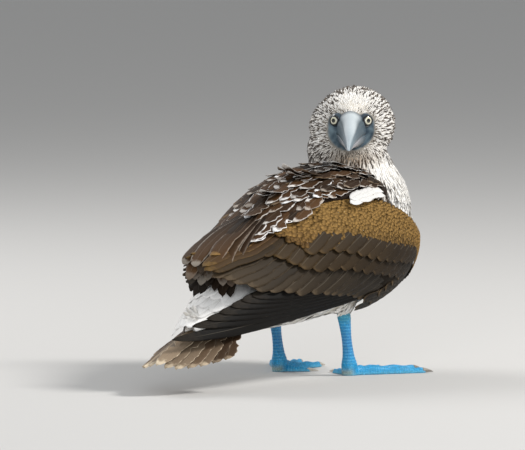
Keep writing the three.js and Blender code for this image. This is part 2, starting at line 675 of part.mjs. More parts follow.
function tailCoverts() {
  return TAIL_COVERTS.map(({ rootY, tip, middle, halfWidth }) => {
    const root = new THREE.Vector3(-174, rootY, 90 - Math.abs(rootY) * 0.5);
    const curve = new THREE.QuadraticBezierCurve3(root, new THREE.Vector3(...middle), new THREE.Vector3(...tip));
    const lift = (t) => (rootY === 0 ? 2.4 : 0) * t;
    const path = (t) => curve.getPoint(t);
    return vane({ path, settle: ontoRoof(rootY * 0.02), side: 1, halfWidth, lift, tilt: 0 });
  });
}

// Foot: four toes joined by webs, each with its heading from straight ahead towards the outer side.
const TOES = [
  { name: "outer", heading: 38, length: 80, width: 9 },
  { name: "middle", heading: 18, length: 86, width: 9.5 },
  { name: "inner", heading: -5, length: 67, width: 9 },
  { name: "hind", heading: -64, length: 30, width: 7 },
];
const WEB_THICKNESS = 1.8;
const CLAW_LENGTH = 9;

function footPoint(side, heading, reach, height, sideways = 0) {
  const turn = toRadians(-side * heading);
  const x = reach * Math.cos(turn) - sideways * Math.sin(turn);
  const y = -side * (LEG_SPREAD / 2) + reach * Math.sin(turn) + sideways * Math.cos(turn);
  return new THREE.Vector3(x, y, height);
}

// A toe with a flat sole, swollen at its joints.
function toe(side, { heading, length, width }) {
  const rings = Array.from({ length: 7 }, (_, i) => {
    const share = i / 6;
    const joint = 1 + 0.09 * Math.cos(share * Math.PI * 6);
    const half = (width / 2) * between(1, 0.62, share) * joint * (i === 6 ? 0.7 : 1);
    const tall = width * between(1.05, 0.6, share) * joint * (i === 6 ? 0.7 : 1);
    return Array.from({ length: 6 }, (_, j) => {
      const turn = (Math.PI * j) / 5;
      return footPoint(side, heading, length * share, tall * Math.sin(turn), half * Math.cos(turn));
    });
  });
  return solidOf(loft(rings));
}

// The webs between the toes, with a hollow front edge from each toe to the next.
function webs(side) {
  const outline = new THREE.Shape();
  const tips = TOES.map(({ heading, length }) => footPoint(side, heading, length - 3, 0));
  outline.moveTo(-4, -side * (LEG_SPREAD / 2));
  outline.lineTo(tips[0].x, tips[0].y);
  for (let i = 1; i < tips.length; i += 1) {
    const heading = (TOES[i - 1].heading + TOES[i].heading) / 2;
    const reach = Math.min(TOES[i - 1].length, TOES[i].length) * (i === 3 ? 0.45 : 0.8);
    const dip = footPoint(side, heading, reach, 0);
    outline.quadraticCurveTo(dip.x, dip.y, tips[i].x, tips[i].y);
  }
  const settings = { depth: WEB_THICKNESS, bevelEnabled: false, curveSegments: 5 };
  return solidOf(new THREE.ExtrudeGeometry(outline, settings));
}

// The bare tarsus, leaning back to the ankle joint under the thigh.
function tarsus(side) {
  const halfLength = smoothThrough([[0, 9.5], [10, 9], [20, 6.8], [36, 5.6], [52, 6.8], [64, 9], [67, 9]]);
  const halfWidth = smoothThrough([[0, 7.5], [10, 7.4], [20, 5.4], [36, 4.6], [52, 5.6], [64, 7.2], [67, 7.2]]);
  const rings = [0, 5, 10, 15, 22, 32, 42, 50, 57, ANKLE_HEIGHT, 67].map((z) => {
    const lean = -ANKLE_SETBACK * Math.pow(z / ANKLE_HEIGHT, 1.2);
    return Array.from({ length: 10 }, (_, j) => {
      const turn = (2 * Math.PI * j) / 10;
      const x = lean + halfLength(z) * Math.cos(turn);
      return new THREE.Vector3(x, -side * (LEG_SPREAD / 2) + halfWidth(z) * Math.sin(turn), z);
    });
  });
  return solidOf(loft(rings));
}

// The feathered end of the thigh, from the ankle joint up into the belly.
function thigh(side) {
  const rings = [0, 3, 8, 16, 28].map((rise, i) => {
    const z = THIGH_FOOT_HEIGHT + rise;
    const radius = [8.5, 11, 13, 16, 18][i];
    return Array.from({ length: 10 }, (_, j) => {
      const turn = (2 * Math.PI * j) / 10;
      const x = between(-ANKLE_SETBACK, 2, rise / 28) + radius * 1.15 * Math.cos(turn);
      return new THREE.Vector3(x, -side * (LEG_SPREAD / 2 - 2) + radius * 0.85 * Math.sin(turn), z);
    });
  });
  return solidOf(loft(rings));
}

function claw(side, { heading, length, width }) {
  const rings = [0, 0.5, 1].map((share) => {
    const half = (width / 2) * between(0.5, 0.1, share);
    const tall = width * between(0.55, 0.14, share);
    const reach = length + NODE_GAP + CLAW_LENGTH * share;
    return Array.from({ length: 6 }, (_, j) => {
      const turn = (Math.PI * j) / 5;
      return footPoint(side, heading, reach, tall * Math.sin(turn), half * Math.cos(turn));
    });
  });
  return solidOf(loft(rings));
}

addNode("torso", bodyAtNeck.below, COLOURS.white);
addNode("neck", bodyAtHead.below, COLOURS.streaked);

const sockets = union([eyeBall(1, EYE_RADIUS + NODE_GAP), eyeBall(-1, EYE_RADIUS + NODE_GAP)]);
const lids = union([eyeLid(1, LID_THICKNESS), eyeLid(-1, LID_THICKNESS)]);
const lidsClear = union([eyeLid(1, LID_THICKNESS + NODE_GAP), eyeLid(-1, LID_THICKNESS + NODE_GAP)]);
const head = largestPiece(bodyAtHead.above.add(lids).subtract(sockets).subtract(gapeSlit()));
addNode("head", head, COLOURS.streaked);
const headClear = union([bodyClear, sockets, lidsClear]);

const upper = mandible(BILL_TIP_AHEAD, culmen, MOUTH_GAP / 2).subtract(headClear);
addNode("bill_upper", largestPiece(upper.subtract(union([billGroove(1), billGroove(-1)]))), COLOURS.bill, 0.45);
const lower = mandible(BILL_TIP_AHEAD - 3, billUnderside, -MOUTH_GAP / 2).subtract(headClear);
addNode("bill_lower", largestPiece(lower), COLOURS.bill, 0.45);

addNode("mantle", mantle(), COLOURS.brown);
const tail = union([bodyAtTail.below, ...tailFeathers(), ...tailCoverts()]);
const tailRoom = keepAbove(tail, [-1, 0, 0], [TAIL_CUT_X - NODE_GAP / 2, 0, 0]);
addNode("tail", largestPiece(tailRoom), COLOURS.tail);

for (const [side, sideName] of [[1, "right"], [-1, "left"]]) {
  addNode(`eye_${sideName}`, eyeBall(-side, EYE_RADIUS), COLOURS.iris, 0.1);
  addNode(`wing_${sideName}`, wing(side), COLOURS.brown);
  const limb = union([...TOES.map((each) => toe(side, each)), webs(side), tarsus(side)]);
  const parted = splitAt(limb, [0, 0, 1], [0, 0, HEEL_CUT_HEIGHT]);
  const shank = keepAbove(parted.above, [0, 0, -1], [0, 0, THIGH_FOOT_HEIGHT - NODE_GAP]);
  addNode(`foot_${sideName}`, parted.below, COLOURS.foot, 0.5);
  addNode(`leg_${sideName}`, largestPiece(shank), COLOURS.foot, 0.5);
  addNode(`thigh_${sideName}`, largestPiece(thigh(side).subtract(bodyClear)), COLOURS.white);
  for (const each of TOES) {
    addNode(`claw_${each.name}_${sideName}`, claw(side, each), COLOURS.claw, 0.4);
  }
}

// The finished model stands with its origin on the floor, under the middle of its outline.
const outline = new THREE.Box3().setFromObject(model);
const middle = outline.getCenter(new THREE.Vector3());
model.position.set(-middle.x, -middle.y, -outline.min.z);
model.updateMatrixWorld(true);

export default model;
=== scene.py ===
"""A life-size standing blue-footed booby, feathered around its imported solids.

The bird looks back over its right shoulder. Shapes are laid out in the anchor frame of the model, in
millimetres, with the origin on the floor between the heels, and moved to the row frame in metres.
"""

import logging
import math
from dataclasses import dataclass, field
from enum import Enum
from typing import Callable

import bpy
import numpy as np
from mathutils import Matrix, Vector


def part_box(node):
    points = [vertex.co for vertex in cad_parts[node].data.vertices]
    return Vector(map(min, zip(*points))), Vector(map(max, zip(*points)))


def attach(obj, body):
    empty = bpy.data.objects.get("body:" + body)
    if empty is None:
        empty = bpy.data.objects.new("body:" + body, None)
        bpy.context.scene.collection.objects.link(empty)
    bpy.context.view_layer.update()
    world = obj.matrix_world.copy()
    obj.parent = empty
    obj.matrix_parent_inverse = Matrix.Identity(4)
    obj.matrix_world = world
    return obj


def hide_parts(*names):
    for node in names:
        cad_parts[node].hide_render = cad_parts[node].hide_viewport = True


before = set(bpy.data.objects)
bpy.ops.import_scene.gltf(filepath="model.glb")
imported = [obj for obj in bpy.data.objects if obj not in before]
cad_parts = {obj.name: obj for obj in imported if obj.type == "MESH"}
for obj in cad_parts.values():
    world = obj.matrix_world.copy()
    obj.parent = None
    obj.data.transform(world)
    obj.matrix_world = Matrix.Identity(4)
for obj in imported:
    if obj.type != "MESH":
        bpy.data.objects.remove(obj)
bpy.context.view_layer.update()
logging.basicConfig(level=logging.INFO, format="%(message)s")
log = logging.getLogger("booby")

Array = np.ndarray
Body = tuple[Array, Array]
Node = bpy.types.Node
Socket = bpy.types.NodeSocket
Tree = bpy.types.NodeTree
Material = bpy.types.Material
RIGHT = 1
LEFT = -1
EYE_CENTRE_X_MM = 34.57


class Slot(Enum):
    """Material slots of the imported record."""

    WHITE = "plumage_white"
    STREAKED = "plumage_streaked"
    BROWN = "plumage_brown"
    TAIL = "plumage_tail"
    BILL = "bill"
    EYE = "eye"
    FOOT = "foot_skin"
    CLAW = "claw"


def linear(hex_colour: str) -> Array:
    """Turns an sRGB colour into linear light.

    Args:
        hex_colour: Six hexadecimal digits.

    Returns:
        Red, green and blue from 0 to 1.
    """
    values = np.array([int(hex_colour[i : i + 2], 16) / 255 for i in (0, 2, 4)])
    return np.where(values <= 0.04045, values / 12.92, ((values + 0.055) / 1.055) ** 2.4)


WHITE = linear("fbf9f6")
WARM_WHITE = linear("e6dfd2")
STREAK = linear("2c1d11")
STREAK_PALE = linear("6b5439")
BUFF = linear("a88c68")
MANTLE_DARK = linear("23180f")
MANTLE_MID = linear("54391f")
COVERT_GOLD = linear("70562e")
COVERT_RIM = linear("b38c50")
COVERT_OLIVE = linear("2a2014")
QUILL_GREY = linear("383026")
QUILL_DARK = linear("13100d")
TAIL_BUFF = linear("6b4a2c")
TAIL_PALE = linear("dccbb0")
FACE_SLATE = linear("33424e")
FACE_LIGHT = linear("74868f")
FOOT_BLUE = linear("12a4e0")
FOOT_LIGHT = linear("74cbec")
FOOT_VIOLET = linear("3864b8")
SHANK_GREEN = linear("5fa8a0")
HEEL_YELLOW = linear("b9b07c")
CLAW_PALE = linear("cfc6b8")
CLAW_DARK = linear("6e675f")
HORN_SLATE = linear("465863")
# Pale colour of the painted highlight along the top of the bill.
PAINTED_CULMEN_HIGHLIGHT = linear("c3ccd0")
HORN_TIP = linear("8a9aa3")
LOWER_HORN = linear("55646f")
LOWER_HORN_TIP = linear("9a9a9f")
IRIS = linear("ebe8cf")
IRIS_INNER = linear("c9c39c")
EYE_RING = linear("14181c")
LID_BLACK = linear("0d1014")


@dataclass(frozen=True)
class Profile:
    """A smooth function through places and values, level beyond both ends."""

    pairs: tuple[tuple[float, float], ...]

    def __call__(self, place: Array | float) -> Array:
        """Gives the value at each place.

        Args:
            place: Where to read it.

        Returns:
            The values.
        """
        xs = np.array([pair[0] for pair in self.pairs])
        ys = np.array([pair[1] for pair in self.pairs])
        count = len(xs)
        low = np.maximum(np.arange(count) - 1, 0)
        high = np.minimum(np.arange(count) + 1, count - 1)
        slopes = (ys[high] - ys[low]) / (xs[high] - xs[low])
        at = np.clip(np.asarray(place, float), xs[0], xs[-1])
        i = np.clip(np.searchsorted(xs, at, side="right") - 1, 0, count - 2)
        span = xs[i + 1] - xs[i]
        t = (at - xs[i]) / span
        rise = t * t * (3 - 2 * t)
        bend = t * (1 - t) * span * ((1 - t) * slopes[i] - t * slopes[i + 1])
        return ys[i] * (1 - rise) + ys[i + 1] * rise + bend


def profile(*pairs: tuple[float, float]) -> Profile:
    """Makes a profile from its place and value pairs."""
    return Profile(tuple(pairs))


def smoothstep(low: float, high: float, value: Array) -> Array:
    """Rises from 0 at low to 1 at high."""
    t = np.clip((np.asarray(value, float) - low) / (high - low), 0, 1)
    return t * t * (3 - 2 * t)


def unit(vectors: Array) -> Array:
    """Gives vectors of length 1 along the last axis."""
    return vectors / np.maximum(np.linalg.norm(vectors, axis=-1, keepdims=True), 1e-9)


def mix(a: Array, b: Array, share: Array | float) -> Array:
    """Mixes two colours or points by a share that may vary.

    Args:
        a: The first.
        b: The second.
        share: How much of the second, 0 to 1.

    Returns:
        The mixture.
    """
    share = np.asarray(share, float)
    if share.ndim and (3,) in (np.shape(a)[-1:], np.shape(b)[-1:]) and share.shape[-1:] != (1,):
        share = share[..., None]
    return a * (1 - share) + b * share


class MeshKit:
    """Turns arrays of points and triangles into objects of the model."""

    def __init__(self) -> None:
        """Finds where the anchor frame lies in the row frame."""
        low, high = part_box("eye_right")
        self.shift = (low.x + high.x) / 2 * 1000 - EYE_CENTRE_X_MM

    def to_row(self, points: Array) -> Array:
        """Moves anchor points in millimetres to the row frame in metres."""
        return (points + np.array([self.shift, 0.0, 0.0])) / 1000

    def build(
        self,
        name: str,
        points: Array,
        triangles: Array,
        material: Material,
        colours: dict[str, Array] | None = None,
        uvs: dict[str, Array] | None = None,
    ) -> bpy.types.Object:
        """Builds one mesh object, shaded smoothly.

        Args:
            name: The piece's name.
            points: Anchor points in millimetres.
            triangles: Rows of three point numbers.
            material: The piece's finish.
            colours: Colour attributes, one linear RGB row for each point.
            uvs: UV maps, one pair for each point.

        Returns:
            The new object, linked to the scene.
        """
        mesh = bpy.data.meshes.new(name)
        triangles = np.asarray(triangles, np.int32)
        mesh.vertices.add(len(points))
        mesh.vertices.foreach_set("co", self.to_row(points).astype(np.float32).ravel())
        mesh.loops.add(triangles.size)
        mesh.loops.foreach_set("vertex_index", triangles.ravel())
        mesh.polygons.add(len(triangles))
        mesh.polygons.foreach_set("loop_start", np.arange(0, triangles.size, 3, dtype=np.int32))
        mesh.polygons.foreach_set("use_smooth", np.full(len(triangles), True))
        for key, pairs in (uvs or {}).items():
            layer = mesh.uv_layers.new(name=key)
            layer.data.foreach_set("uv", pairs[triangles.ravel()].astype(np.float32).ravel())
        for key, values in (colours or {}).items():
            rgba = np.ones((len(points), 4), np.float32)
            rgba[:, :3] = np.clip(values, 0, 1)
            layer = mesh.color_attributes.new(key, "FLOAT_COLOR", "POINT")
            layer.data.foreach_set("color", rgba.ravel())
        mesh.update(calc_edges=True)
        mesh.validate()
        mesh.materials.append(material)
        made = bpy.data.objects.new(name, mesh)
        bpy.context.scene.collection.objects.link(made)
        return made

    def add(
        self,
        name: str,
        body: Body,
        material: Material,
        slot: Slot,
        *nodes: str,
        uvs: dict[str, Array] | None = None,
        **colours: Array,
    ) -> None:
        """Builds a piece, fixes it to the model and reports it.

        Args:
            name: The piece's name.
            body: Its points and triangles.
            material: Its finish.
            slot: The record slot of its finish; not used.
            nodes: CAD nodes that it stands for.
            uvs: UV maps, one pair for each point.
            colours: Colour attributes, one row for each point or one for all.
        """
        points, triangles = body
        spread = {key: np.broadcast_to(value, points.shape) for key, value in colours.items()}
        piece = self.build(name, points, triangles, material, spread, uvs)
        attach(piece, "root")
        if nodes:
            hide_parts(*nodes)
        log.info("%s: %d triangles", piece.name, len(piece.data.polygons))


def grid_triangles(rows: int, columns: int, closed: bool = False) -> Array:
    """Splits a grid of points into triangles.

    Args:
        rows: Points along the first direction.
        columns: Points along the second direction.
        closed: Whether the last column joins the first.

    Returns:
        Rows of three point numbers.
    """
    wide = columns if closed else columns - 1
    i, j = np.meshgrid(np.arange(rows - 1), np.arange(wide), indexing="ij")
    a = i * columns + j
    b = i * columns + (j + 1) % columns
    c, d = b + columns, a + columns
    return np.stack([np.stack([a, b, c], -1), np.stack([a, c, d], -1)], 2).reshape(-1, 3)


def facing_out(points: Array, triangles: Array) -> Body:
    """Turns the triangles of a closed body so that they face out.

    Args:
        points: Its points.
        triangles: Its triangles, which all face one way.

    Returns:
        Points and triangles.
    """
    a, b, c = (points - points.mean(0))[triangles].transpose(1, 0, 2)
    volume = np.einsum("ij,ij->i", a, np.cross(b, c)).sum()
    return points, triangles if volume > 0 else triangles[:, ::-1]


def tube(rings: Array) -> Body:
    """Closes a stack of rings into a solid.

    Args:
        rings: Points as rings by points by 3.

    Returns:
        Points and triangles, facing out.
    """
    count, sides = rings.shape[:2]
    points = np.concatenate([rings.reshape(-1, 3), rings[:1].mean(1), rings[-1:].mean(1)])
    body = grid_triangles(count, sides, closed=True)
    turn = np.arange(sides)
    following = (turn + 1) % sides
    last = (count - 1) * sides
    first_cap = np.stack([following, turn, np.full(sides, count * sides)], -1)
    last_cap = np.stack([last + turn, last + following, np.full(sides, count * sides + 1)], -1)
    return facing_out(points, np.concatenate([body, first_cap, last_cap]))


def turns(count: int) -> Array:
    """Gives evenly spaced angles all the way round."""
    return np.linspace(0, 2 * math.pi, count, endpoint=False)


def first_in_each(cells: Array) -> Array:
    """Gives the number of the first row of each kind, in order."""
    return np.sort(np.unique(cells, axis=0, return_index=True)[1])


def join(parts: list[Body]) -> Body:
    """Joins several point and triangle pairs into one.

    Args:
        parts: The pairs.

    Returns:
        Points and triangles.
    """
    offsets = np.cumsum([0] + [len(points) for points, _ in parts[:-1]])
    points = np.concatenate([points for points, _ in parts])
    return points, np.concatenate([tris + start for (_, tris), start in zip(parts, offsets)])


def wire(tree: Tree, node: Node, inputs: dict[str, object]) -> Node:
    """Sets or links a node's inputs.

    Args:
        tree: The tree that holds the node.
        node: The node.
        inputs: Values or output sockets by input name, with _ for a space, or by number as n0, n1 and so on.

    Returns:
        The same node.
    """
    for key, value in inputs.items():
        numbered = key[0] == "n" and key[1:].isdigit()
        socket = node.inputs[int(key[1:]) if numbered else key.replace("_", " ")]
        if isinstance(value, Socket):
            tree.links.new(value, socket)
        else:
            socket.default_value = value
    return node


class Shader:
    """Builds a node material in plain steps."""

    def __init__(self, name: str, roughness: float, **constants: float) -> None:
        """Starts a Principled material.

        Args:
            name: The finish's name.
            roughness: Its roughness.
            constants: Other Principled inputs that stay the same all over.
        """
        self.material = bpy.data.materials.new(name)
        self.material.use_nodes = True
        self.tree = self.material.node_tree
        self.principled = self.tree.nodes["Principled BSDF"]
        wire(self.tree, self.principled, {"Roughness": roughness, **constants})

    def node(self, kind: str, **inputs: object) -> Node:
        """Adds a node and wires its inputs."""
        return wire(self.tree, self.tree.nodes.new(kind), inputs)

    def attribute(self, name: str) -> Socket:
        """Reads a colour attribute.

        Args:
            name: Its name.

        Returns:
            Its socket.
        """
        made = self.tree.nodes.new("ShaderNodeVertexColor")
        made.layer_name = name
        return made.outputs["Color"]

    def coat_with(self, look: Node, bump: float, reach: float) -> Material:
        """Links a shared look's roughness, colour and relief to the shader.

        Args:
            look: The placed node group.
            bump: Strength of the relief.
            reach: Depth of the relief in metres.

        Returns:
            The finished material.
        """
        self.tree.links.new(look.outputs["Roughness"], self.principled.inputs["Roughness"])
        return self.finish(look.outputs["Color"], look.outputs["Height"], bump, reach)

    def group(self, tree: Tree, **inputs: object) -> Node:
        """Places a shared node group and wires its inputs.

        Args:
            tree: The group's nodes.
            inputs: What its inputs get.

        Returns:
            The node.
        """
        made = self.tree.nodes.new("ShaderNodeGroup")
        made.node_tree = tree
        return wire(self.tree, made, inputs)

    def finish(
        self, colour: Socket, height: Socket | None, bump: float, reach: float
    ) -> Material:
        """Links colour and relief to the shader.

        Args:
            colour: The surface colour.
            height: The relief, if any.
            bump: Strength of the relief.
            reach: Depth of the relief in metres.

        Returns:
            The finished material.
        """
        self.tree.links.new(colour, self.principled.inputs["Base Color"])
        if height is not None:
            relief = self.node("ShaderNodeBump", Strength=bump, Distance=reach, Height=height)
            self.tree.links.new(relief.outputs["Normal"], self.principled.inputs["Normal"])
        return self.material


class GroupMaker:
    """Builds the shared shader node groups."""

    outputs = {"Color": "NodeSocketColor", "Height": "NodeSocketFloat", "Roughness": "NodeSocketFloat"}

    def __init__(self, name: str, inputs: dict[str, tuple[str, object]]) -> None:
        """Opens a group with named sockets.

        Args:
            name: The group's name.
            inputs: Socket type and default for each input name.
        """
        self.tree = bpy.data.node_groups.new(name, "ShaderNodeTree")
        for key, (kind, value) in inputs.items():
            socket = self.tree.interface.new_socket(key, in_out="INPUT", socket_type=kind)
            socket.default_value = value
        for key, kind in self.outputs.items():
            self.tree.interface.new_socket(key, in_out="OUTPUT", socket_type=kind)
        self.given = self.tree.nodes.new("NodeGroupInput").outputs
        self.result = self.tree.nodes.new("NodeGroupOutput").inputs

    def node(self, kind: str, settings: dict[str, object] | None = None, **inputs: object) -> Node:
        """Adds a node with settings and wires its inputs.

        Args:
            kind: The node's type.
            settings: Its properties.
            inputs: What its inputs get.

        Returns:
            The node.
        """
        made = self.tree.nodes.new(kind)
        for key, value in (settings or {}).items():
            setattr(made, key, value)
        return wire(self.tree, made, inputs)

    def math(self, operation: str, a: object, b: object = 0.0) -> Socket:
        """Adds one arithmetic step."""
        return self.node("ShaderNodeMath", {"operation": operation}, n0=a, n1=b).outputs[0]

    def plus(self, a: object, b: object) -> Socket:
        """Adds two values."""
        return self.math("ADD", a, b)

    def minus(self, a: object, b: object) -> Socket:
        """Subtracts the second value from the first."""
        return self.math("SUBTRACT", a, b)

    def times(self, a: object, b: object) -> Socket:
        """Multiplies two values."""
        return self.math("MULTIPLY", a, b)

    def grey(self, level: Socket) -> Socket:
        """Turns a value into a grey."""
        return self.node("ShaderNodeCombineColor", Red=level, Green=level, Blue=level).outputs[0]

    def object_place(self) -> Socket:
        """Gives the place on the piece."""
        return self.node("ShaderNodeTexCoord").outputs["Object"]

    def noise(self, where: object, scale: object, detail: float) -> Socket:
        """Adds a noise texture."""
        return self.node("ShaderNodeTexNoise", Vector=where, Scale=scale, Detail=detail).outputs["Fac"]

    def blend(self, share: object, a: object, b: object, kind: str = "MIX") -> Socket:
        """Mixes two colours."""
        made = self.node("ShaderNodeMix", {"data_type": "RGBA", "blend_type": kind}, n0=share, n6=a, n7=b)
        return made.outputs[2]

    def output(self, **sockets: Socket) -> Tree:
        """Links the group's outputs and returns the group.

        Args:
            sockets: What the outputs get.

        Returns:
            The group.
        """
        for key, socket in sockets.items():
            self.tree.links.new(socket, self.result[key])
        return self.tree


def mottle_group() -> Tree:
    """Builds the fine colour variation and relief that every soft surface shares.

    Returns:
        The group.
    """
    make = GroupMaker(
        "plumage_mottle",
        {
            "Color": ("NodeSocketColor", (1, 1, 1, 1)),
            "Scale": ("NodeSocketFloat", 900.0),
            "Amount": ("NodeSocketFloat", 0.25),
        },
    )
    where = make.object_place()
    fine = make.noise(where, make.given["Scale"], 3.0)
    broad = make.noise(where, 60.0, 2.0)
    spread = make.plus(make.times(fine, 0.6), make.times(broad, 0.4))
    dark = make.minus(1.3, make.times(spread, 0.6))
    grey = make.grey(dark)
    colour = make.blend(make.given["Amount"], make.given["Color"], grey, "MULTIPLY")
    rough = make.plus(0.6, make.times(fine, 0.3))
    return make.output(Color=colour, Height=fine, Roughness=rough)


def vane_group() -> Tree:
    """Builds a feather vane's look: shaft, slanted barbs and a worn pale rim.

    Returns:
        The group.
    """
    make = GroupMaker(
        "vane_markings",
        {
            "Tint": ("NodeSocketColor", (0.1, 0.08, 0.06, 1)),
            "Rim": ("NodeSocketColor", (0.5, 0.4, 0.3, 1)),
            "Place": ("NodeSocketVector", (0, 0, 0)),
            "Rim Width": ("NodeSocketFloat", 0.16),
            "Barbs": ("NodeSocketFloat", 90.0),
        },
    )
    split = make.node("ShaderNodeSeparateXYZ", Vector=make.given["Place"]).outputs
    along = split["X"]
    across = make.math("ABSOLUTE", make.minus(make.times(split["Y"], 2.0), 1.0))
    phase = make.minus(along, make.times(across, 0.12))
    wave = make.math("SINE", make.times(phase, make.times(make.given["Barbs"], 6.283)))
    shaft = make.math("MAXIMUM", make.minus(1.0, make.times(across, 14.0)), 0.0)
    height = make.plus(make.times(wave, 0.2), make.times(shaft, 1.5))
    where = make.object_place()
    ragged = make.noise(where, 220.0, 4.0)
    uneven = make.times(make.minus(ragged, 0.5), 0.35)
    side = make.minus(across, 0.1)
    edge = make.math("MAXIMUM", side, make.plus(make.times(along, 2.0), -1.0))
    inner = make.minus(1.0, make.given["Rim Width"])
    reach = make.plus(make.minus(edge, inner), uneven)
    mask = make.node("ShaderNodeMapRange", {"interpolation_type": "SMOOTHSTEP"}, Value=reach)
    mask.inputs["From Min"].default_value = -0.06
    mask.inputs["From Max"].default_value = 0.1
    lengthwise = make.times(phase, 40.0)
    streaks = make.node("ShaderNodeCombineXYZ", X=lengthwise, Y=across, Z=0.0).outputs[0]
    grain = make.noise(streaks, 3.0, 3.0)
    level = make.plus(0.65, make.times(grain, 0.7))
    grey = make.grey(level)
    body = make.blend(0.8, make.given["Tint"], grey, "MULTIPLY")
    keel = make.blend(make.times(shaft, 0.2), body, (0.3, 0.26, 0.2, 1))
    colour = make.blend(mask.outputs[0], keel, make.given["Rim"])
    rough = make.plus(0.5, make.times(grain, 0.25))
    return make.output(Color=colour, Height=height, Roughness=rough)


def scute_group() -> Tree:
    """Builds the small raised scales of the bare skin.

    Returns:
        The group.
    """
    make = GroupMaker(
        "skin_scales",
        {
            "Color": ("NodeSocketColor", (0.1, 0.4, 0.7, 1)),
            "Scale": ("NodeSocketFloat", 600.0),
            "Seam": ("NodeSocketFloat", 0.4),
        },
    )
    where = make.object_place()
    scale = make.given["Scale"]
    cells = make.node("ShaderNodeTexVoronoi", {"feature": "DISTANCE_TO_EDGE"}, Vector=where, Scale=scale)
    height = make.math("MINIMUM", make.times(cells.outputs["Distance"], 4.0), 1.0)
    tone = make.node("ShaderNodeTexVoronoi", Vector=where, Scale=scale).outputs["Color"]
    level = make.plus(0.8, make.times(tone, 0.35))
    depth = make.minus(1.0, height)
    seam = make.minus(1.0, make.times(depth, make.given["Seam"]))
    shade = make.times(level, seam)
    grey = make.grey(shade)
    colour = make.blend(1.0, make.given["Color"], grey, "MULTIPLY")
    rough = make.plus(0.35, make.times(depth, 0.4))
    return make.output(Color=colour, Height=height, Roughness=rough)


@dataclass(frozen=True)
class Finishes:
    """All finishes of the bird, made once."""

    down: Material
    coat: Material
    vane: Material
    shoulder: Material
    foot: Material
    bill: Material
    eye: Material
    lid: Material
    claw: Material

    @staticmethod
    def soft(name: str, mottle: Tree, scale: float, bump: float) -> Material:
        """Makes a matt plumage finish from the tint attribute.

        Args:
            name: The finish's name.
            mottle: The shared fine variation.
            scale: How fine it is.
            bump: Strength of its relief.

        Returns:
            The material.
        """
        shader = Shader(name, 0.85, Specular_IOR_Level=0.12)
        look = shader.group(mottle, Color=shader.attribute("tint"), Scale=scale, Amount=0.5)
        return shader.coat_with(look, bump, 0.0004)

    @staticmethod
    def feather(group: Tree, name: str, rim_width: float) -> Material:
        """Makes a flight or shoulder feather finish.

        Args:
            group: The shared vane markings.
            name: The finish's name.
            rim_width: Width of the pale rim, as a share of the vane.

        Returns:
            The material.
        """
        shader = Shader(name, 0.65, Specular_IOR_Level=0.16)
        place = shader.node("ShaderNodeUVMap")
        place.uv_map = "VanePlace"
        tint, rim = shader.attribute("tint"), shader.attribute("rim")
        look = shader.group(group, Tint=tint, Rim=rim, Place=place.outputs[0], Rim_Width=rim_width)
        return shader.coat_with(look, 0.5, 0.0003)

    @staticmethod
    def bare(
        name: str, group: Tree, scale: float, seam: float, coat: float
    ) -> Material:
        """Makes a bare skin or horn finish from the tint attribute.

        Args:
            name: The finish's name.
            group: The shared scales.
            scale: Scales to the metre.
            seam: How dark the seams between them are.
            coat: Weight of the glossy coat.

        Returns:
            The material.
        """
        shader = Shader(name, 0.5, Coat_Weight=coat, Coat_Roughness=0.3, Specular_IOR_Level=0.4)
        look = shader.group(group, Color=shader.attribute("tint"), Scale=scale, Seam=seam)
        return shader.coat_with(look, 0.5, 0.0005)

    @classmethod
    def make(cls) -> "Finishes":
        """Builds every finish.

        Returns:
            The finishes.
        """
        mottle, vane, scutes = mottle_group(), vane_group(), scute_group()
        eye = Shader("eye_gloss", 0.08, Coat_Weight=1.0, Coat_Roughness=0.02)
        horn = Shader("bill_horn", 0.42, Coat_Weight=0.15, Coat_Roughness=0.35)
        look = horn.group(mottle, Color=horn.attribute("tint"), Scale=350.0, Amount=0.6)
        return cls(
            down=cls.soft("body_down", mottle, 500.0, 0.5),
            coat=cls.soft("contour_feather", mottle, 1500.0, 0.3),
            vane=cls.feather(vane, "flight_feather", 0.15),
            shoulder=cls.feather(vane, "shoulder_feather", 0.22),
            foot=cls.bare("foot_skin", scutes, 620.0, 0.35, 0.1),
            bill=horn.finish(look.outputs["Color"], look.outputs["Height"], 0.25, 0.0003),
            eye=eye.finish(eye.attribute("tint"), None, 0.0, 0.0),
            lid=cls.bare("lid_skin", scutes, 1500.0, 0.3, 0.2),
            claw=cls.bare("claw_horn", scutes, 200.0, 0.1, 0.2),
        )


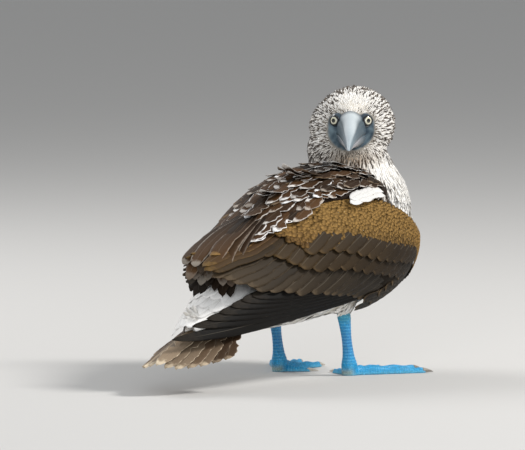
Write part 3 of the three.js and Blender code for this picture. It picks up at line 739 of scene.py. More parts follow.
class BodyForm:
    """The body's own shape: torso, neck and head as rings, and the frame of the turned head."""

    back = profile(
        (-224, 74), (-200, 88), (-160, 108), (-110, 143), (-60, 172), (-10, 190), (40, 196), (85, 200),
        (115, 190), (137, 158),
    )
    belly = profile(
        (-224, 68), (-200, 62), (-160, 55), (-110, 51), (-50, 53), (0, 58), (40, 66), (85, 84), (115, 106),
        (137, 146),
    )
    half_width = profile(
        (-224, 6), (-200, 20), (-160, 34), (-110, 50), (-60, 61), (0, 67), (50, 66), (85, 60), (115, 43),
        (128, 28), (137, 7),
    )
    widest = profile(
        (-224, 71), (-160, 76), (-110, 88), (-60, 100), (0, 112), (60, 128), (100, 144), (137, 152)
    )
    neck_forward = profile((140, 76), (185, 76), (208, 71), (228, 62), (258, 60))
    neck_sideways = profile((140, 0), (185, 1), (208, 2), (228, 1), (258, -3))
    neck_half_length = profile((140, 54), (170, 60), (190, 57), (208, 50), (228, 42), (258, 26))
    neck_half_width = profile((140, 56), (170, 55), (190, 48), (208, 40), (228, 37), (258, 26))
    head_half_width = profile(
        (-54, 8), (-48, 24), (-34, 37), (-10, 43), (6, 39), (15, 32.5), (21, 26.5), (25, 21.5), (28, 17.2),
        (32, 13), (38, 11), (46, 8),
    )
    head_rise = profile(
        (
            -54, 8
        ), (-48, 20), (-34, 33), (-10, 38.5), (6, 35), (15, 30.5), (22, 26), (30, 21), (38, 17.5), (46, 14)
    )
    head_drop = profile(
        (
            -54, 8
        ), (-48, 21), (-34, 34), (-10, 39), (6, 36), (15, 31), (22, 26), (30, 20.5), (38, 17.5), (46, 14)
    )
    head_centre = np.array([62.0, -5.0, 245.0])
    sides = 48

    def __init__(self) -> None:
        """Turns the head's own axes into anchor axes."""
        yaw, pitch = math.radians(-150), math.radians(-5)
        cy, sy, cp, sp = math.cos(yaw), math.sin(yaw), math.cos(pitch), math.sin(pitch)
        self.ahead = np.array([cy * cp, sy * cp, sp])
        self.beside = np.array([-sy, cy, 0.0])
        self.above = np.array([-cy * sp, -sy * sp, cp])

    def head_point(self, ahead: Array, beside: Array, above: Array) -> Array:
        """Gives anchor points from places in the head's frame.

        Args:
            ahead: Millimetres ahead.
            beside: Millimetres beside.
            above: Millimetres above.

        Returns:
            The points.
        """
        ahead, beside, above = np.broadcast_arrays(*(np.asarray(v, float) for v in (ahead, beside, above)))
        axes = np.stack([self.ahead, self.beside, self.above])
        return self.head_centre + np.stack([ahead, beside, above], -1) @ axes

    def head_place(self, points: Array) -> Array:
        """Gives ahead, beside and above of anchor points."""
        return (points - self.head_centre) @ np.stack([self.ahead, self.beside, self.above], -1)

    def torso(self, swell: float) -> Body:
        """Builds the torso loft, swollen or shrunk.

        Args:
            swell: Growth in millimetres.

        Returns:
            Points and triangles.
        """
        x = -43.5 - (180.5 + swell) * np.cos(np.linspace(0, math.pi, 50))
        turn = turns(self.sides)
        middle = self.widest(x)[:, None]
        up = np.where(np.sin(turn) > 0, self.back(x)[:, None] - middle, middle - self.belly(x)[:, None])
        y = np.maximum(self.half_width(x) + swell, 1)[:, None] * np.cos(turn)
        z = middle + np.maximum(up + swell, 1) * np.sin(turn)
        return tube(np.stack([np.broadcast_to(x[:, None], y.shape), y, z], -1))

    def neck(self, swell: float) -> Body:
        """Builds the neck loft, swollen or shrunk.

        Args:
            swell: Growth in millimetres.

        Returns:
            Points and triangles.
        """
        z = np.linspace(140, 258, 24)[:, None]
        turn = turns(self.sides)
        x = self.neck_forward(z) + (self.neck_half_length(z) + swell) * np.cos(turn)
        y = self.neck_sideways(z) + (self.neck_half_width(z) + swell) * np.sin(turn)
        return tube(np.stack([x, y, np.broadcast_to(z, x.shape)], -1))

    def head(self, swell: float) -> Body:
        """Builds the head loft, swollen or shrunk, with full lores in front of the eyes.

        Args:
            swell: Growth in millimetres.

        Returns:
            Points and triangles.
        """
        ahead = -4 - (50 + swell) * np.cos(np.linspace(0, math.pi, 44))[:, None]
        turn = turns(self.sides)
        height = np.where(np.sin(turn) > 0, self.head_rise(ahead), self.head_drop(ahead))
        crown = np.maximum(np.sin(turn), 0) * (1 - np.maximum(ahead / 46, 0))
        beside = (
            (self.head_half_width(ahead) + swell) * (1 - 0.1 * crown) * np.cos(turn) + 0.1 * height * crown
        )
        return tube(self.head_point(ahead, beside, (height + swell) * np.sin(turn)))

    def thigh(self, side: int, swell: float) -> Body:
        """Builds the feathered end of one thigh.

        Args:
            side: Which side.
            swell: Growth in millimetres.

        Returns:
            Points and triangles.
        """
        rise = np.array([0.0, 1.5, 3, 6, 10, 16, 22, 30])[:, None]
        radius = profile((0, 9.5), (3, 11.5), (8, 13.5), (16, 16), (30, 19))(rise) + swell * 0.5
        turn = turns(24)
        x = -13 + 15 * rise / 28 + radius * 1.15 * np.cos(turn)
        y = -side * 39 + radius * 0.85 * np.sin(turn)
        return tube(np.stack([x, y, np.broadcast_to(62 + rise, x.shape)], -1))


class Markings:
    """Colours of skin and coat by place on the body, the same for both."""

    def __init__(self, form: BodyForm) -> None:
        """Keeps the body form for its head frame."""
        self.form = form

    def face(self, points: Array) -> Array:
        """Gives 1 on the bare face round the bill and eyes, 0 on feathers.

        Args:
            points: Places in anchor millimetres.

        Returns:
            A share for each place.
        """
        ahead, beside, above = self.form.head_place(points).T
        power = np.where(above > -1.5, 4.0, 2.0)
        tall = np.abs(above + 1.5) / np.where(above > -1.5, 17.2, 18.8)
        ring = (np.abs(beside / 23.4) ** power + tall**power) ** (1 / power)
        return smoothstep(1.04, 0.94, ring) * smoothstep(4, 8, ahead)

    def streaks(self, points: Array) -> Array:
        """Gives how thickly dark streaks stand on head and neck, from 0 to 1.

        Args:
            points: Places in anchor millimetres.

        Returns:
            A share for each place.
        """
        ahead, beside, above = self.form.head_place(points).T
        x, _, z = points.T
        crown = smoothstep(208, 228, z)
        nape = smoothstep(176, 204, z) * self.behind_breast(points)
        brow = np.exp(-((beside - 2) ** 2) / 240 - ((above - 25) ** 2) / 60) * smoothstep(6, 14, ahead)
        throat = smoothstep(-24, -34, above) * smoothstep(0, 20, ahead)
        return np.clip(
            np.maximum(crown * 0.78 * smoothstep(118, 92, x), nape * 0.7) - 1.1 * brow - 0.4 * throat, 0, 1
        )

    @staticmethod
    def behind_breast(points: Array) -> Array:
        """Gives 0 on the plain white breast and foreneck, 1 behind them.

        Args:
            points: Places in anchor millimetres.

        Returns:
            A share for each place.
        """
        x, y, z = points.T
        beyond = 0.53 * x + 0.85 * np.abs(y) - 85 + 0.43 * (z - 158)
        return smoothstep(4, -12, beyond) * smoothstep(102, 84, x)

    def collar(self, points: Array) -> Array:
        """Gives 1 on the brown streaky band over the shoulders, 0 elsewhere.

        Args:
            points: Places in anchor millimetres.

        Returns:
            A share for each place.
        """
        x, _, z = points.T
        height = z - profile((-20, 178), (40, 182), (70, 180), (100, 166), (130, 150))(x)
        return smoothstep(-26, -10, height) * smoothstep(20, 8, height) * self.behind_breast(points)

    def down(self, points: Array) -> Array:
        """Gives the skin's own colour under the feathers.

        Args:
            points: Places in anchor millimetres.

        Returns:
            A colour for each place.
        """
        streaked = np.maximum(self.streaks(points), self.collar(points))
        colour = mix(WARM_WHITE * 0.85, STREAK * 1.3, 0.75 * streaked)
        _, beside, above = self.form.head_place(points).T
        cloud = (
            np.sin(beside * 0.55 + 1.3 * np.sin(above * 0.31))
            * np.sin(above * 0.47 + 1.7 * np.sin(beside * 0.23))
        )
        slate = mix(FACE_SLATE, FACE_LIGHT, np.clip(0.42 + 0.42 * cloud - 0.012 * beside, 0, 1))
        return mix(colour, slate, self.face(points))


@dataclass
class Tufts:
    """A batch of small closed feathers, one array entry for each."""

    roots: Array
    normals: Array
    flow: Array
    length: Array
    width: Array
    rise: Array
    hug: Array
    base: Array
    tip: Array
    turn: Array
    steps: tuple[float, ...] = (0.0, 0.3, 0.62, 0.86)
    widths: tuple[float, ...] = (0.45, 1.0, 0.9, 0.5)
    fade: tuple[float, ...] = (0.0, 0.25, 0.8, 1.0)
    thickness: float = 0.14

    def mesh(self) -> tuple[Array, Array, Array]:
        """Builds all the tufts.

        Returns:
            Points, triangles and tint of each point.
        """
        along = unit(self.flow - (self.flow * self.normals).sum(-1, keepdims=True) * self.normals)
        across = np.cross(self.normals, along)
        along = unit(along + across * self.turn[:, None])
        across = np.cross(self.normals, along)
        rings = []
        tints = []
        for step, width, fade in zip(self.steps, self.widths, self.fade):
            reach = self.length * step
            height = -0.5 + reach * self.rise - reach * reach * self.hug
            middle = self.roots + along * reach[:, None] + self.normals * height[:, None]
            half = across * (self.width * width / 2)[:, None]
            ridge = self.normals * self.thickness
            rings.append(np.stack([middle - half, middle + half, middle + ridge + self.normals * 0.1], 1))
            tints.append(np.repeat(mix(self.base, self.tip, fade)[:, None], 3, 1))
        height = -0.5 + self.length * self.rise - self.length * self.length * self.hug
        point = self.roots + along * self.length[:, None] + self.normals * height[:, None]
        rings.append(point[:, None])
        tints.append(self.tip[:, None])
        each = np.concatenate(rings, 1)
        stride = each.shape[1]
        count = len(self.steps)
        body = grid_triangles(count, 3, closed=True)
        cap = [[2, 1, 0]]
        last = (count - 1) * 3
        tip = [[last, last + 1, stride - 1], [last + 1, last + 2, stride - 1], [last + 2, last, stride - 1]]
        one = np.concatenate([body, cap, tip])
        triangles = (one[None] + np.arange(len(each))[:, None, None] * stride).reshape(-1, 3)
        return each.reshape(-1, 3), triangles, np.concatenate(tints, 1).reshape(-1, 3)

    def patches(self, root_uv: Array) -> Array:
        """Gives each tuft's patch on the unwrap, about 0.003 across at its root's place.

        Args:
            root_uv: Each root's place on the unwrap.

        Returns:
            UV pairs.
        """
        stride = len(self.steps) * 3 + 1
        along = np.repeat(np.array([*self.steps, 1.0]), [3] * len(self.steps) + [1])
        across = np.array([0.0, 1.0, 0.5] * len(self.steps) + [0.5])
        patch = np.stack([across, along], -1) * 0.003 - 0.0015
        return (root_uv[:, None] + patch[None, :stride]).reshape(-1, 2)


class Skin:
    """One closed skin over torso, neck, head and thighs, inside the solids by the coat's depth."""

    depth_mm = 2.0
    voxel_mm = 2.2
    smoothing = 8

    def __init__(self, kit: MeshKit, form: BodyForm, marks: Markings, finishes: Finishes) -> None:
        """Fuses the lofts and keeps the skin's points for the coat.

        Args:
            kit: Builds meshes.
            form: The body's shape.
            marks: The body's markings.
            finishes: The finishes.
        """
        swell = -self.depth_mm
        parts = [
            form.torso(swell), form.neck(swell), form.head(swell), form.thigh(RIGHT, swell),
            form.thigh(LEFT, swell)
        ]
        raw = kit.build("skin_lofts", *join(parts), finishes.down)
        remesh = raw.modifiers.new("fuse", "REMESH")
        remesh.mode = "VOXEL"
        remesh.voxel_size = self.voxel_mm / 1000
        smooth = raw.modifiers.new("smooth", "SMOOTH")
        smooth.factor = 0.5
        smooth.iterations = self.smoothing
        mesh = bpy.data.meshes.new_from_object(raw.evaluated_get(bpy.context.evaluated_depsgraph_get()))
        bpy.data.objects.remove(raw)
        mesh.calc_loop_triangles()
        points = np.zeros(len(mesh.vertices) * 3, np.float32)
        mesh.vertices.foreach_get("co", points)
        normals = np.zeros(len(mesh.vertices) * 3, np.float32)
        mesh.vertex_normals.foreach_get("vector", normals)
        triangles = np.zeros(len(mesh.loop_triangles) * 3, np.int32)
        mesh.loop_triangles.foreach_get("vertices", triangles)
        bpy.data.meshes.remove(mesh)
        self.points = points.reshape(-1, 3).astype(float) * 1000 - np.array([kit.shift, 0, 0])
        self.normals = normals.reshape(-1, 3).astype(float)
        self.triangles = triangles.reshape(-1, 3)
        covered = ("torso", "neck", "head", "thigh_right", "thigh_left")
        body = (self.points, self.triangles)
        kit.add("skin", body, finishes.down, Slot.WHITE, *covered, tint=marks.down(self.points))

    def scatter(self, spacing: Callable[[Array], Array], rng: np.random.Generator) -> Body:
        """Draws evenly spread places on the skin.

        Args:
            spacing: Distance between places, from points.
            rng: The seeded draw.

        Returns:
            Places and their normals.
        """
        corners = self.points[self.triangles]
        area = (
            np.linalg.norm(np.cross(corners[:, 1] - corners[:, 0], corners[:, 2] - corners[:, 0]), axis=1)
            / 2
        )
        wanted = spacing(corners.mean(1))
        rate = np.where(wanted > 0, 3.0 * area / np.maximum(wanted, 0.1) ** 2, 0)
        number = rng.poisson(rate)
        owner = np.repeat(np.arange(len(area)), number)
        share = rng.random((len(owner), 2))
        over = share.sum(1) > 1
        share[over] = 1 - share[over]
        weights = np.stack([1 - share.sum(1), share[:, 0], share[:, 1]], -1)[..., None]
        places = (self.points[self.triangles[owner]] * weights).sum(1)
        normals = unit((self.normals[self.triangles[owner]] * weights).sum(1))
        order = rng.permutation(len(places))
        places, normals, gap = places[order], normals[order], wanted[owner][order]
        cells = np.floor(places / (gap[:, None] * 0.8)).astype(int)
        keep = first_in_each(np.column_stack([cells, np.round(gap * 10).astype(int)]))
        return places[keep], normals[keep]


@dataclass
class Coat:
    """The contour feathers of head, neck and body."""

    kit: MeshKit
    form: BodyForm
    marks: Markings
    skin: Skin
    finishes: Finishes
    seed: int = 7
    head_spacing: float = 1.75
    neck_spacing: float = 2.3
    body_spacing: float = 4.0
    head_streaks: float = 2.8
    neck_streaks: float = 4.4
    face_length: float = 3.6
    head_length: float = 8.5
    neck_length: float = 12.0
    body_length: float = 20.0

    def spacing(self, points: Array) -> Array:
        """Gives the distance between feathers at each place, 0 where none grow.

        Args:
            points: Places in anchor millimetres.

        Returns:
            Millimetres for each place.
        """
        ahead = self.form.head_place(points)[:, 0]
        x, y, z = points.T
        lower = np.round(2 * mix(self.body_spacing, self.neck_spacing, smoothstep(140, 188, z))) / 2
        gap = np.where(z > 205, self.head_spacing, lower)
        gap = np.where((ahead > -2) & (z > 200), 1.45, gap)
        hidden = self.marks.face(points) > 0.5
        hidden |= Envelope.covers(points)
        hidden |= (np.abs(np.abs(y) - 39) < 20) & (np.abs(x + 10) < 20) & (z < 63.5)
        return np.where(hidden, 0, gap)

    def flow(self, points: Array) -> Array:
        """Gives the lie of the feathers.

        Args:
            points: Places in anchor millimetres.

        Returns:
            A direction for each place.
        """
        ahead, beside, above = self.form.head_place(points).T
        z = points[:, 2]
        radial = unit(beside[:, None] * self.form.beside + above[:, None] * self.form.above)
        face = radial * 1.0 - self.form.ahead * 0.6
        back = -self.form.ahead - np.array([0, 0, 0.9])
        head = mix(face, back, smoothstep(6, -26, ahead))
        neck = np.array([-0.12, 0.0, -1.0]) + np.zeros_like(points)
        body = np.array([-1.0, 0.0, -0.55]) + np.zeros_like(points)
        below = mix(body, neck, smoothstep(150, 195, z))
        return mix(below, head, smoothstep(204, 232, z))

    def streak_places(self, places: Array) -> Array:
        """Picks one feather in each small cell, so that dark streaks stand evenly apart.

        Args:
            places: Places in anchor millimetres.

        Returns:
            True where a feather is dark.
        """
        step = np.where(places[:, 2] > 205, self.head_streaks, self.neck_streaks)
        chosen = np.zeros(len(places), bool)
        chosen[first_in_each(np.floor(places / step[:, None]).astype(int))] = True
        return chosen

    def build(self) -> None:
        """Builds the coat, piece by piece, so that no piece grows too heavy."""
        rng = np.random.default_rng(self.seed)
        places, normals = self.skin.scatter(self.spacing, rng)
        x, _, z = places.T
        ahead = self.form.head_place(places)[:, 0]
        regions = {
            "face_coat": (z > 214) & (ahead > 2),
            "head_coat": (z > 214) & (ahead <= 2),
            "neck_coat": (z > 172) & (z <= 214),
            "breast_coat": (z <= 172) & (x > 20),
            "belly_coat": (z <= 172) & (x <= 20),
        }
        slots = {"face_coat": Slot.STREAKED, "head_coat": Slot.STREAKED, "neck_coat": Slot.STREAKED}
        for name, chosen in regions.items():
            self.piece(name, places[chosen], normals[chosen], rng, slots.get(name, Slot.WHITE))

    def piece(self, name: str, places: Array, normals: Array, rng: np.random.Generator, slot: Slot) -> None:
        """Builds one region of the coat.

        Args:
            name: The piece's name.
            places: Roots of its feathers.
            normals: Skin normals there.
            rng: The seeded draw.
            slot: The record slot.
        """
        count = len(places)
        ahead, beside, above = self.form.head_place(places).T
        x, y, z = places.T
        near_face = (
            smoothstep(34, 22, np.hypot(beside, above)) * smoothstep(-4, 10, ahead)
            * smoothstep(196, 205, z)
        )
        length = mix(self.neck_length, self.head_length, smoothstep(196, 220, z))
        length = mix(self.body_length, length, smoothstep(120, 176, z))
        length = mix(length, self.face_length, near_face) * rng.uniform(0.8, 1.2, count)
        thigh = (z < 92) & (np.abs(np.abs(y) - 39) < 17) & (x > -34) & (x < 12)
        length = np.where(thigh, length * 0.5, length)
        thin = smoothstep(150, 190, z)
        width = mix(length * 0.48, length * 0.24, thin)
        streaks = np.clip(self.marks.streaks(places) + rng.normal(0, 0.05, count), 0, 1)
        collar = self.marks.collar(places)
        dark = (
            self.streak_places(places) & (rng.random(count) < 1.25 * streaks + 1.2 * collar * (1 - streaks))
        )
        pale = mix(WHITE, WARM_WHITE, rng.random(count) * 0.5)
        brown = mix(STREAK, STREAK_PALE, rng.random(count) ** 2 * 0.4)
        rim = np.exp(-((above + 26) ** 2) / 60 - (beside**2) / 500) * smoothstep(4, 14, ahead)
        pale = mix(pale, BUFF, np.clip(rim * 0.7 + 0.45 * collar, 0, 1))
        base = np.where(dark[:, None], brown, mix(pale, STREAK_PALE, 0.3 * np.maximum(streaks, collar)))
        tip = np.where(dark[:, None], mix(brown, pale, 0.12), pale)
        width = np.where(dark, width * 0.78, width)
        length = np.where(dark, length * 1.15, length)
        rise = (
            np.where(dark, 0.235, 0.19) + rng.normal(0, 0.035, count) + 0.06 * smoothstep(206, 226, z)
            - 0.07 * smoothstep(150, 110, z)
        )
        hug = mix(1 / 150, 1 / 95, smoothstep(150, 210, z))
        tufts = Tufts(
            roots=places,
            normals=normals,
            flow=self.flow(places),
            length=length,
            width=width,
            rise=rise,
            hug=hug,
            base=base,
            tip=tip,
            turn=rng.normal(0, 0.16, count),
        )
        points, triangles, tint = tufts.mesh()
        turn = np.arctan2(y, z - 120) / (2 * math.pi) + 0.5
        around = np.arctan2(places @ self.form.beside - self.form.head_centre @ self.form.beside, above)
        upper = np.stack([around / (2 * math.pi) + 0.5, (ahead + 60) / 120], -1)
        lower = np.stack([turn, (x + 230) / 380], -1)
        root_uv = np.clip(np.where((z > 214)[:, None], upper, lower) * 0.98 + 0.01, 0.002, 0.998)
        uvs = {"OFBake": tufts.patches(root_uv)}
        self.kit.add(name, (points, triangles), self.finishes.coat, slot, uvs=uvs, tint=tint)


class Envelope:
    """The plumage surface over the folded wings and the back, as an egg-shaped section at each X."""

    middle = profile(
        (-240, 64), (-200, 73), (-160, 82), (-110, 95), (-60, 107), (0, 118), (60, 128), (98, 132)
    )
    rise = profile(
        (-240, 58), (-200, 64), (-160, 62), (-110, 72), (-60, 82), (0, 84), (40, 76), (70, 62), (98, 44)
    )
    drop = profile((-240, 16), (-200, 26), (-160, 36), (-110, 48), (-60, 57), (0, 66), (60, 66), (98, 52))
    half_width = profile(
        (-240, 40), (-200, 47), (-160, 56), (-110, 67), (-60, 78), (0, 85), (40, 84), (70, 77), (98, 64)
    )
    wing_top = profile((-142, 20), (-100, 27), (-50, 36), (0, 47), (42, 60), (80, 76), (97, 86))
    wing_edge = profile(
        (-142, 34), (-120, 56), (-80, 76), (-40, 94), (-6, 118), (14, 140), (50, 150), (82, 145), (91, 132),
        (97, 106),
    )

    @classmethod
    def base(cls, x: Array, around: Array) -> Array:
        """Gives surface points from X and degrees round from the ridge of the back.

        Args:
            x: Places along X.
            around: Degrees round from the ridge.

        Returns:
            The points.
        """
        turn = np.radians(around)
        height = np.where(np.cos(turn) > 0, cls.rise(x), cls.drop(x))
        y = -cls.half_width(x) * np.sin(turn)
        return np.stack(np.broadcast_arrays(x, y, cls.middle(x) + height * np.cos(turn)), -1)

    @classmethod
    def point(cls, x: Array, around: Array, lift: Array) -> Array:
        """Gives points raised off the surface by a lift in millimetres.

        Args:
            x: Places along X.
            around: Degrees round from the ridge.
            lift: Millimetres off the surface.

        Returns:
            The points.
        """
        x, around, lift = np.broadcast_arrays(*(np.asarray(v, float) for v in (x, around, lift)))
        along = cls.base(x + 0.5, around) - cls.base(x - 0.5, around)
        across = cls.base(x, around + 0.5) - cls.base(x, around - 0.5)
        return cls.base(x, around) + unit(np.cross(across, along)) * lift[..., None]

    @classmethod
    def settle(cls, points: Array, lift: Array) -> Array:
        """Lays points on the surface at a lift.

        Args:
            points: Places in anchor millimetres.
            lift: Millimetres off the surface.

        Returns:
            The points.
        """
        x = points[..., 0]
        beside = -points[..., 1] / cls.half_width(x)
        rise = points[..., 2] - cls.middle(x)
        height = np.where(rise > 0, cls.rise(x), cls.drop(x))
        return cls.point(x, np.degrees(np.arctan2(beside, rise / height)), lift)

    @classmethod
    def covers(cls, points: Array) -> Array:
        """Tells which body places lie under wings or mantle, where no body feather is needed.

        Args:
            points: Places in anchor millimetres.

        Returns:
            True where covered.
        """
        x, y, z = points.T
        around = np.abs(np.degrees(np.arctan2(-y / cls.half_width(x), (z - cls.middle(x)) / cls.rise(x))))
        under_wing = (x < 84) & (x > -120) & (around < cls.wing_edge(x) - 16) & (around > cls.wing_top(x) + 6)
        under_mantle = (x < 50) & (x > -135) & (around < Mantle.cape_edge(x) - 4)
        return (under_wing | under_mantle) & (z < 205)


@dataclass(frozen=True)
class VaneLook:
    """Colours of a tier's vanes: at the root, at the tip and on the rim."""

    root: Array
    tip: Array
    rim: Array
    spread: float = 0.12


@dataclass
class Vanes:
    """Collects feather vanes into one mesh."""

    rng: np.random.Generator
    rows: int = 20
    columns: int = 7
    thickness: float = 0.5
    points: list[Array] = field(default_factory=list)
    triangles: list[Array] = field(default_factory=list)
    tints: list[Array] = field(default_factory=list)
    rims: list[Array] = field(default_factory=list)
    places: list[Array] = field(default_factory=list)
    total: int = 0

    def add(
        self,
        path: Callable[[Array], Array],
        settle: Callable[[Array, Array], Array],
        half_width: float,
        lift: Callable[[Array], Array],
        side: int,
        look: VaneLook,
        tilt: float = 1.0,
        round_from: float = 0.82,
        ragged: float = 0.06,
    ) -> None:
        """Adds one vane.

        Args:
            path: Points of its shaft from root at 0 to tip at 1.
            settle: Lays points on what the vane follows, at a lift.
            half_width: Half its width in millimetres.
            lift: Height of the shaft along the vane.
            side: The wing's side, which turns the raised edge.
            look: Its colours.
            tilt: Rise of one edge over the other side's.
            round_from: Where the rounded tip begins.
            ragged: How worn its edges are.
        """
        t = 1 - (1 - np.linspace(0, 1, self.rows)) ** 1.25
        s = np.linspace(-1, 1, self.columns)
        shape = profile((0, 0.3), (0.25, 0.86), (0.6, 1.0), (1.0, 0.86))(t)
        blunt = np.sqrt(np.clip(1 - np.clip((t - round_from) / (1.0 - round_from), 0, 1) ** 2.2, 0.004, 1))
        wear = 1 - ragged * self.rng.random((self.rows, 2)) * smoothstep(0.2, 0.5, t)[:, None]
        notch_at = self.rng.uniform(0.35, 0.9, 2)
        for edge in (0, 1):
            wear[:, edge] -= ragged * 2.5 * np.exp(-((t - notch_at[edge]) ** 2) / 0.0008)
        width = half_width * shape * blunt
        here = settle(path(t), np.zeros_like(t))
        out = unit(settle(path(t), np.ones_like(t)) - here)
        ahead = settle(path(np.minimum(t + 0.03, 1)), np.zeros_like(t))
        behind = settle(path(np.maximum(t - 0.03, 0)), np.zeros_like(t))
        across = unit(np.cross(out, unit(ahead - behind))) * side
        reach = s[None] * width[:, None] * np.where(s[None] < 0, wear[:, :1], wear[:, 1:])
        spots = here[:, None] + across[:, None] * reach[..., None]
        height = lift(t)[:, None] + tilt * s[None] - 0.35 * half_width / 10 * s[None] ** 2
        face = settle(spots, height)
        normal = np.broadcast_to(out[:, None], face.shape)
        taper = np.where(np.abs(s) > 0.9, 0.25, 1.0)[None, :, None] * self.thickness / 2
        grid = grid_triangles(self.rows, self.columns)
        under = self.rows * self.columns
        border = np.concatenate([
            np.arange(self.columns),
            np.arange(1, self.rows) * self.columns + self.columns - 1,
            np.arange(self.columns - 2, -1, -1) + (self.rows - 1) * self.columns,
            np.arange(self.rows - 2, 0, -1) * self.columns,
        ])
        after = np.roll(border, -1)
        rim = np.concatenate([
            np.stack([border, after, after + under], -1), np.stack(
                [border, after + under, border + under], -1
            )
        ])
        triangles = np.concatenate([grid, grid[:, ::-1] + under, rim[:, ::-1]])
        points = np.concatenate(
            [(face + normal * taper).reshape(-1, 3), (face - normal * taper).reshape(-1, 3)]
        )
        a, b, c = points[triangles[0]]
        if np.dot(np.cross(b - a, c - a), out[0]) < 0:
            triangles = triangles[:, ::-1]
        shade = 1 + self.rng.normal(0, look.spread)
        tint = mix(np.broadcast_to(look.root, (self.rows, 3)), look.tip, t) * shade
        tint = np.repeat(tint[:, None], self.columns, 1).reshape(-1, 3)
        place = np.stack(np.broadcast_arrays(t[:, None], (s[None] + 1) / 2), -1).reshape(-1, 2)
        self.points.append(points)
        self.triangles.append(triangles + self.total)
        self.tints.append(np.tile(tint, (2, 1)))
        self.rims.append(np.broadcast_to(look.rim, points.shape) * shade)
        self.places.append(np.tile(place, (2, 1)))
        self.total += len(points)

    def build(self, kit: MeshKit, name: str, finish: Material, slot: Slot, *nodes: str) -> None:
        """Makes the collected vanes into one piece of the model.

        Args:
            kit: Builds meshes.
            name: The piece's name.
            finish: Its finish.
            slot: The record slot.
            nodes: CAD nodes that it stands for.
        """
        body = (np.concatenate(self.points), np.concatenate(self.triangles))
        uvs = {"VanePlace": np.concatenate(self.places)}
        tint, rim = np.concatenate(self.tints), np.concatenate(self.rims)
        kit.add(name, body, finish, slot, *nodes, uvs=uvs, tint=tint, rim=rim)


@dataclass(frozen=True)
class Tier:
    """One tier of a wing's feathers: roots and tips along it, in X and degrees, front to rear."""

    root_x: Profile
    root_around: Profile
    tip_x: Profile
    tip_around: Profile
    count: int
    half_width: float
    low: float
    high: float
    look_front: VaneLook
    look_rear: VaneLook
    tilt: float = 1.0


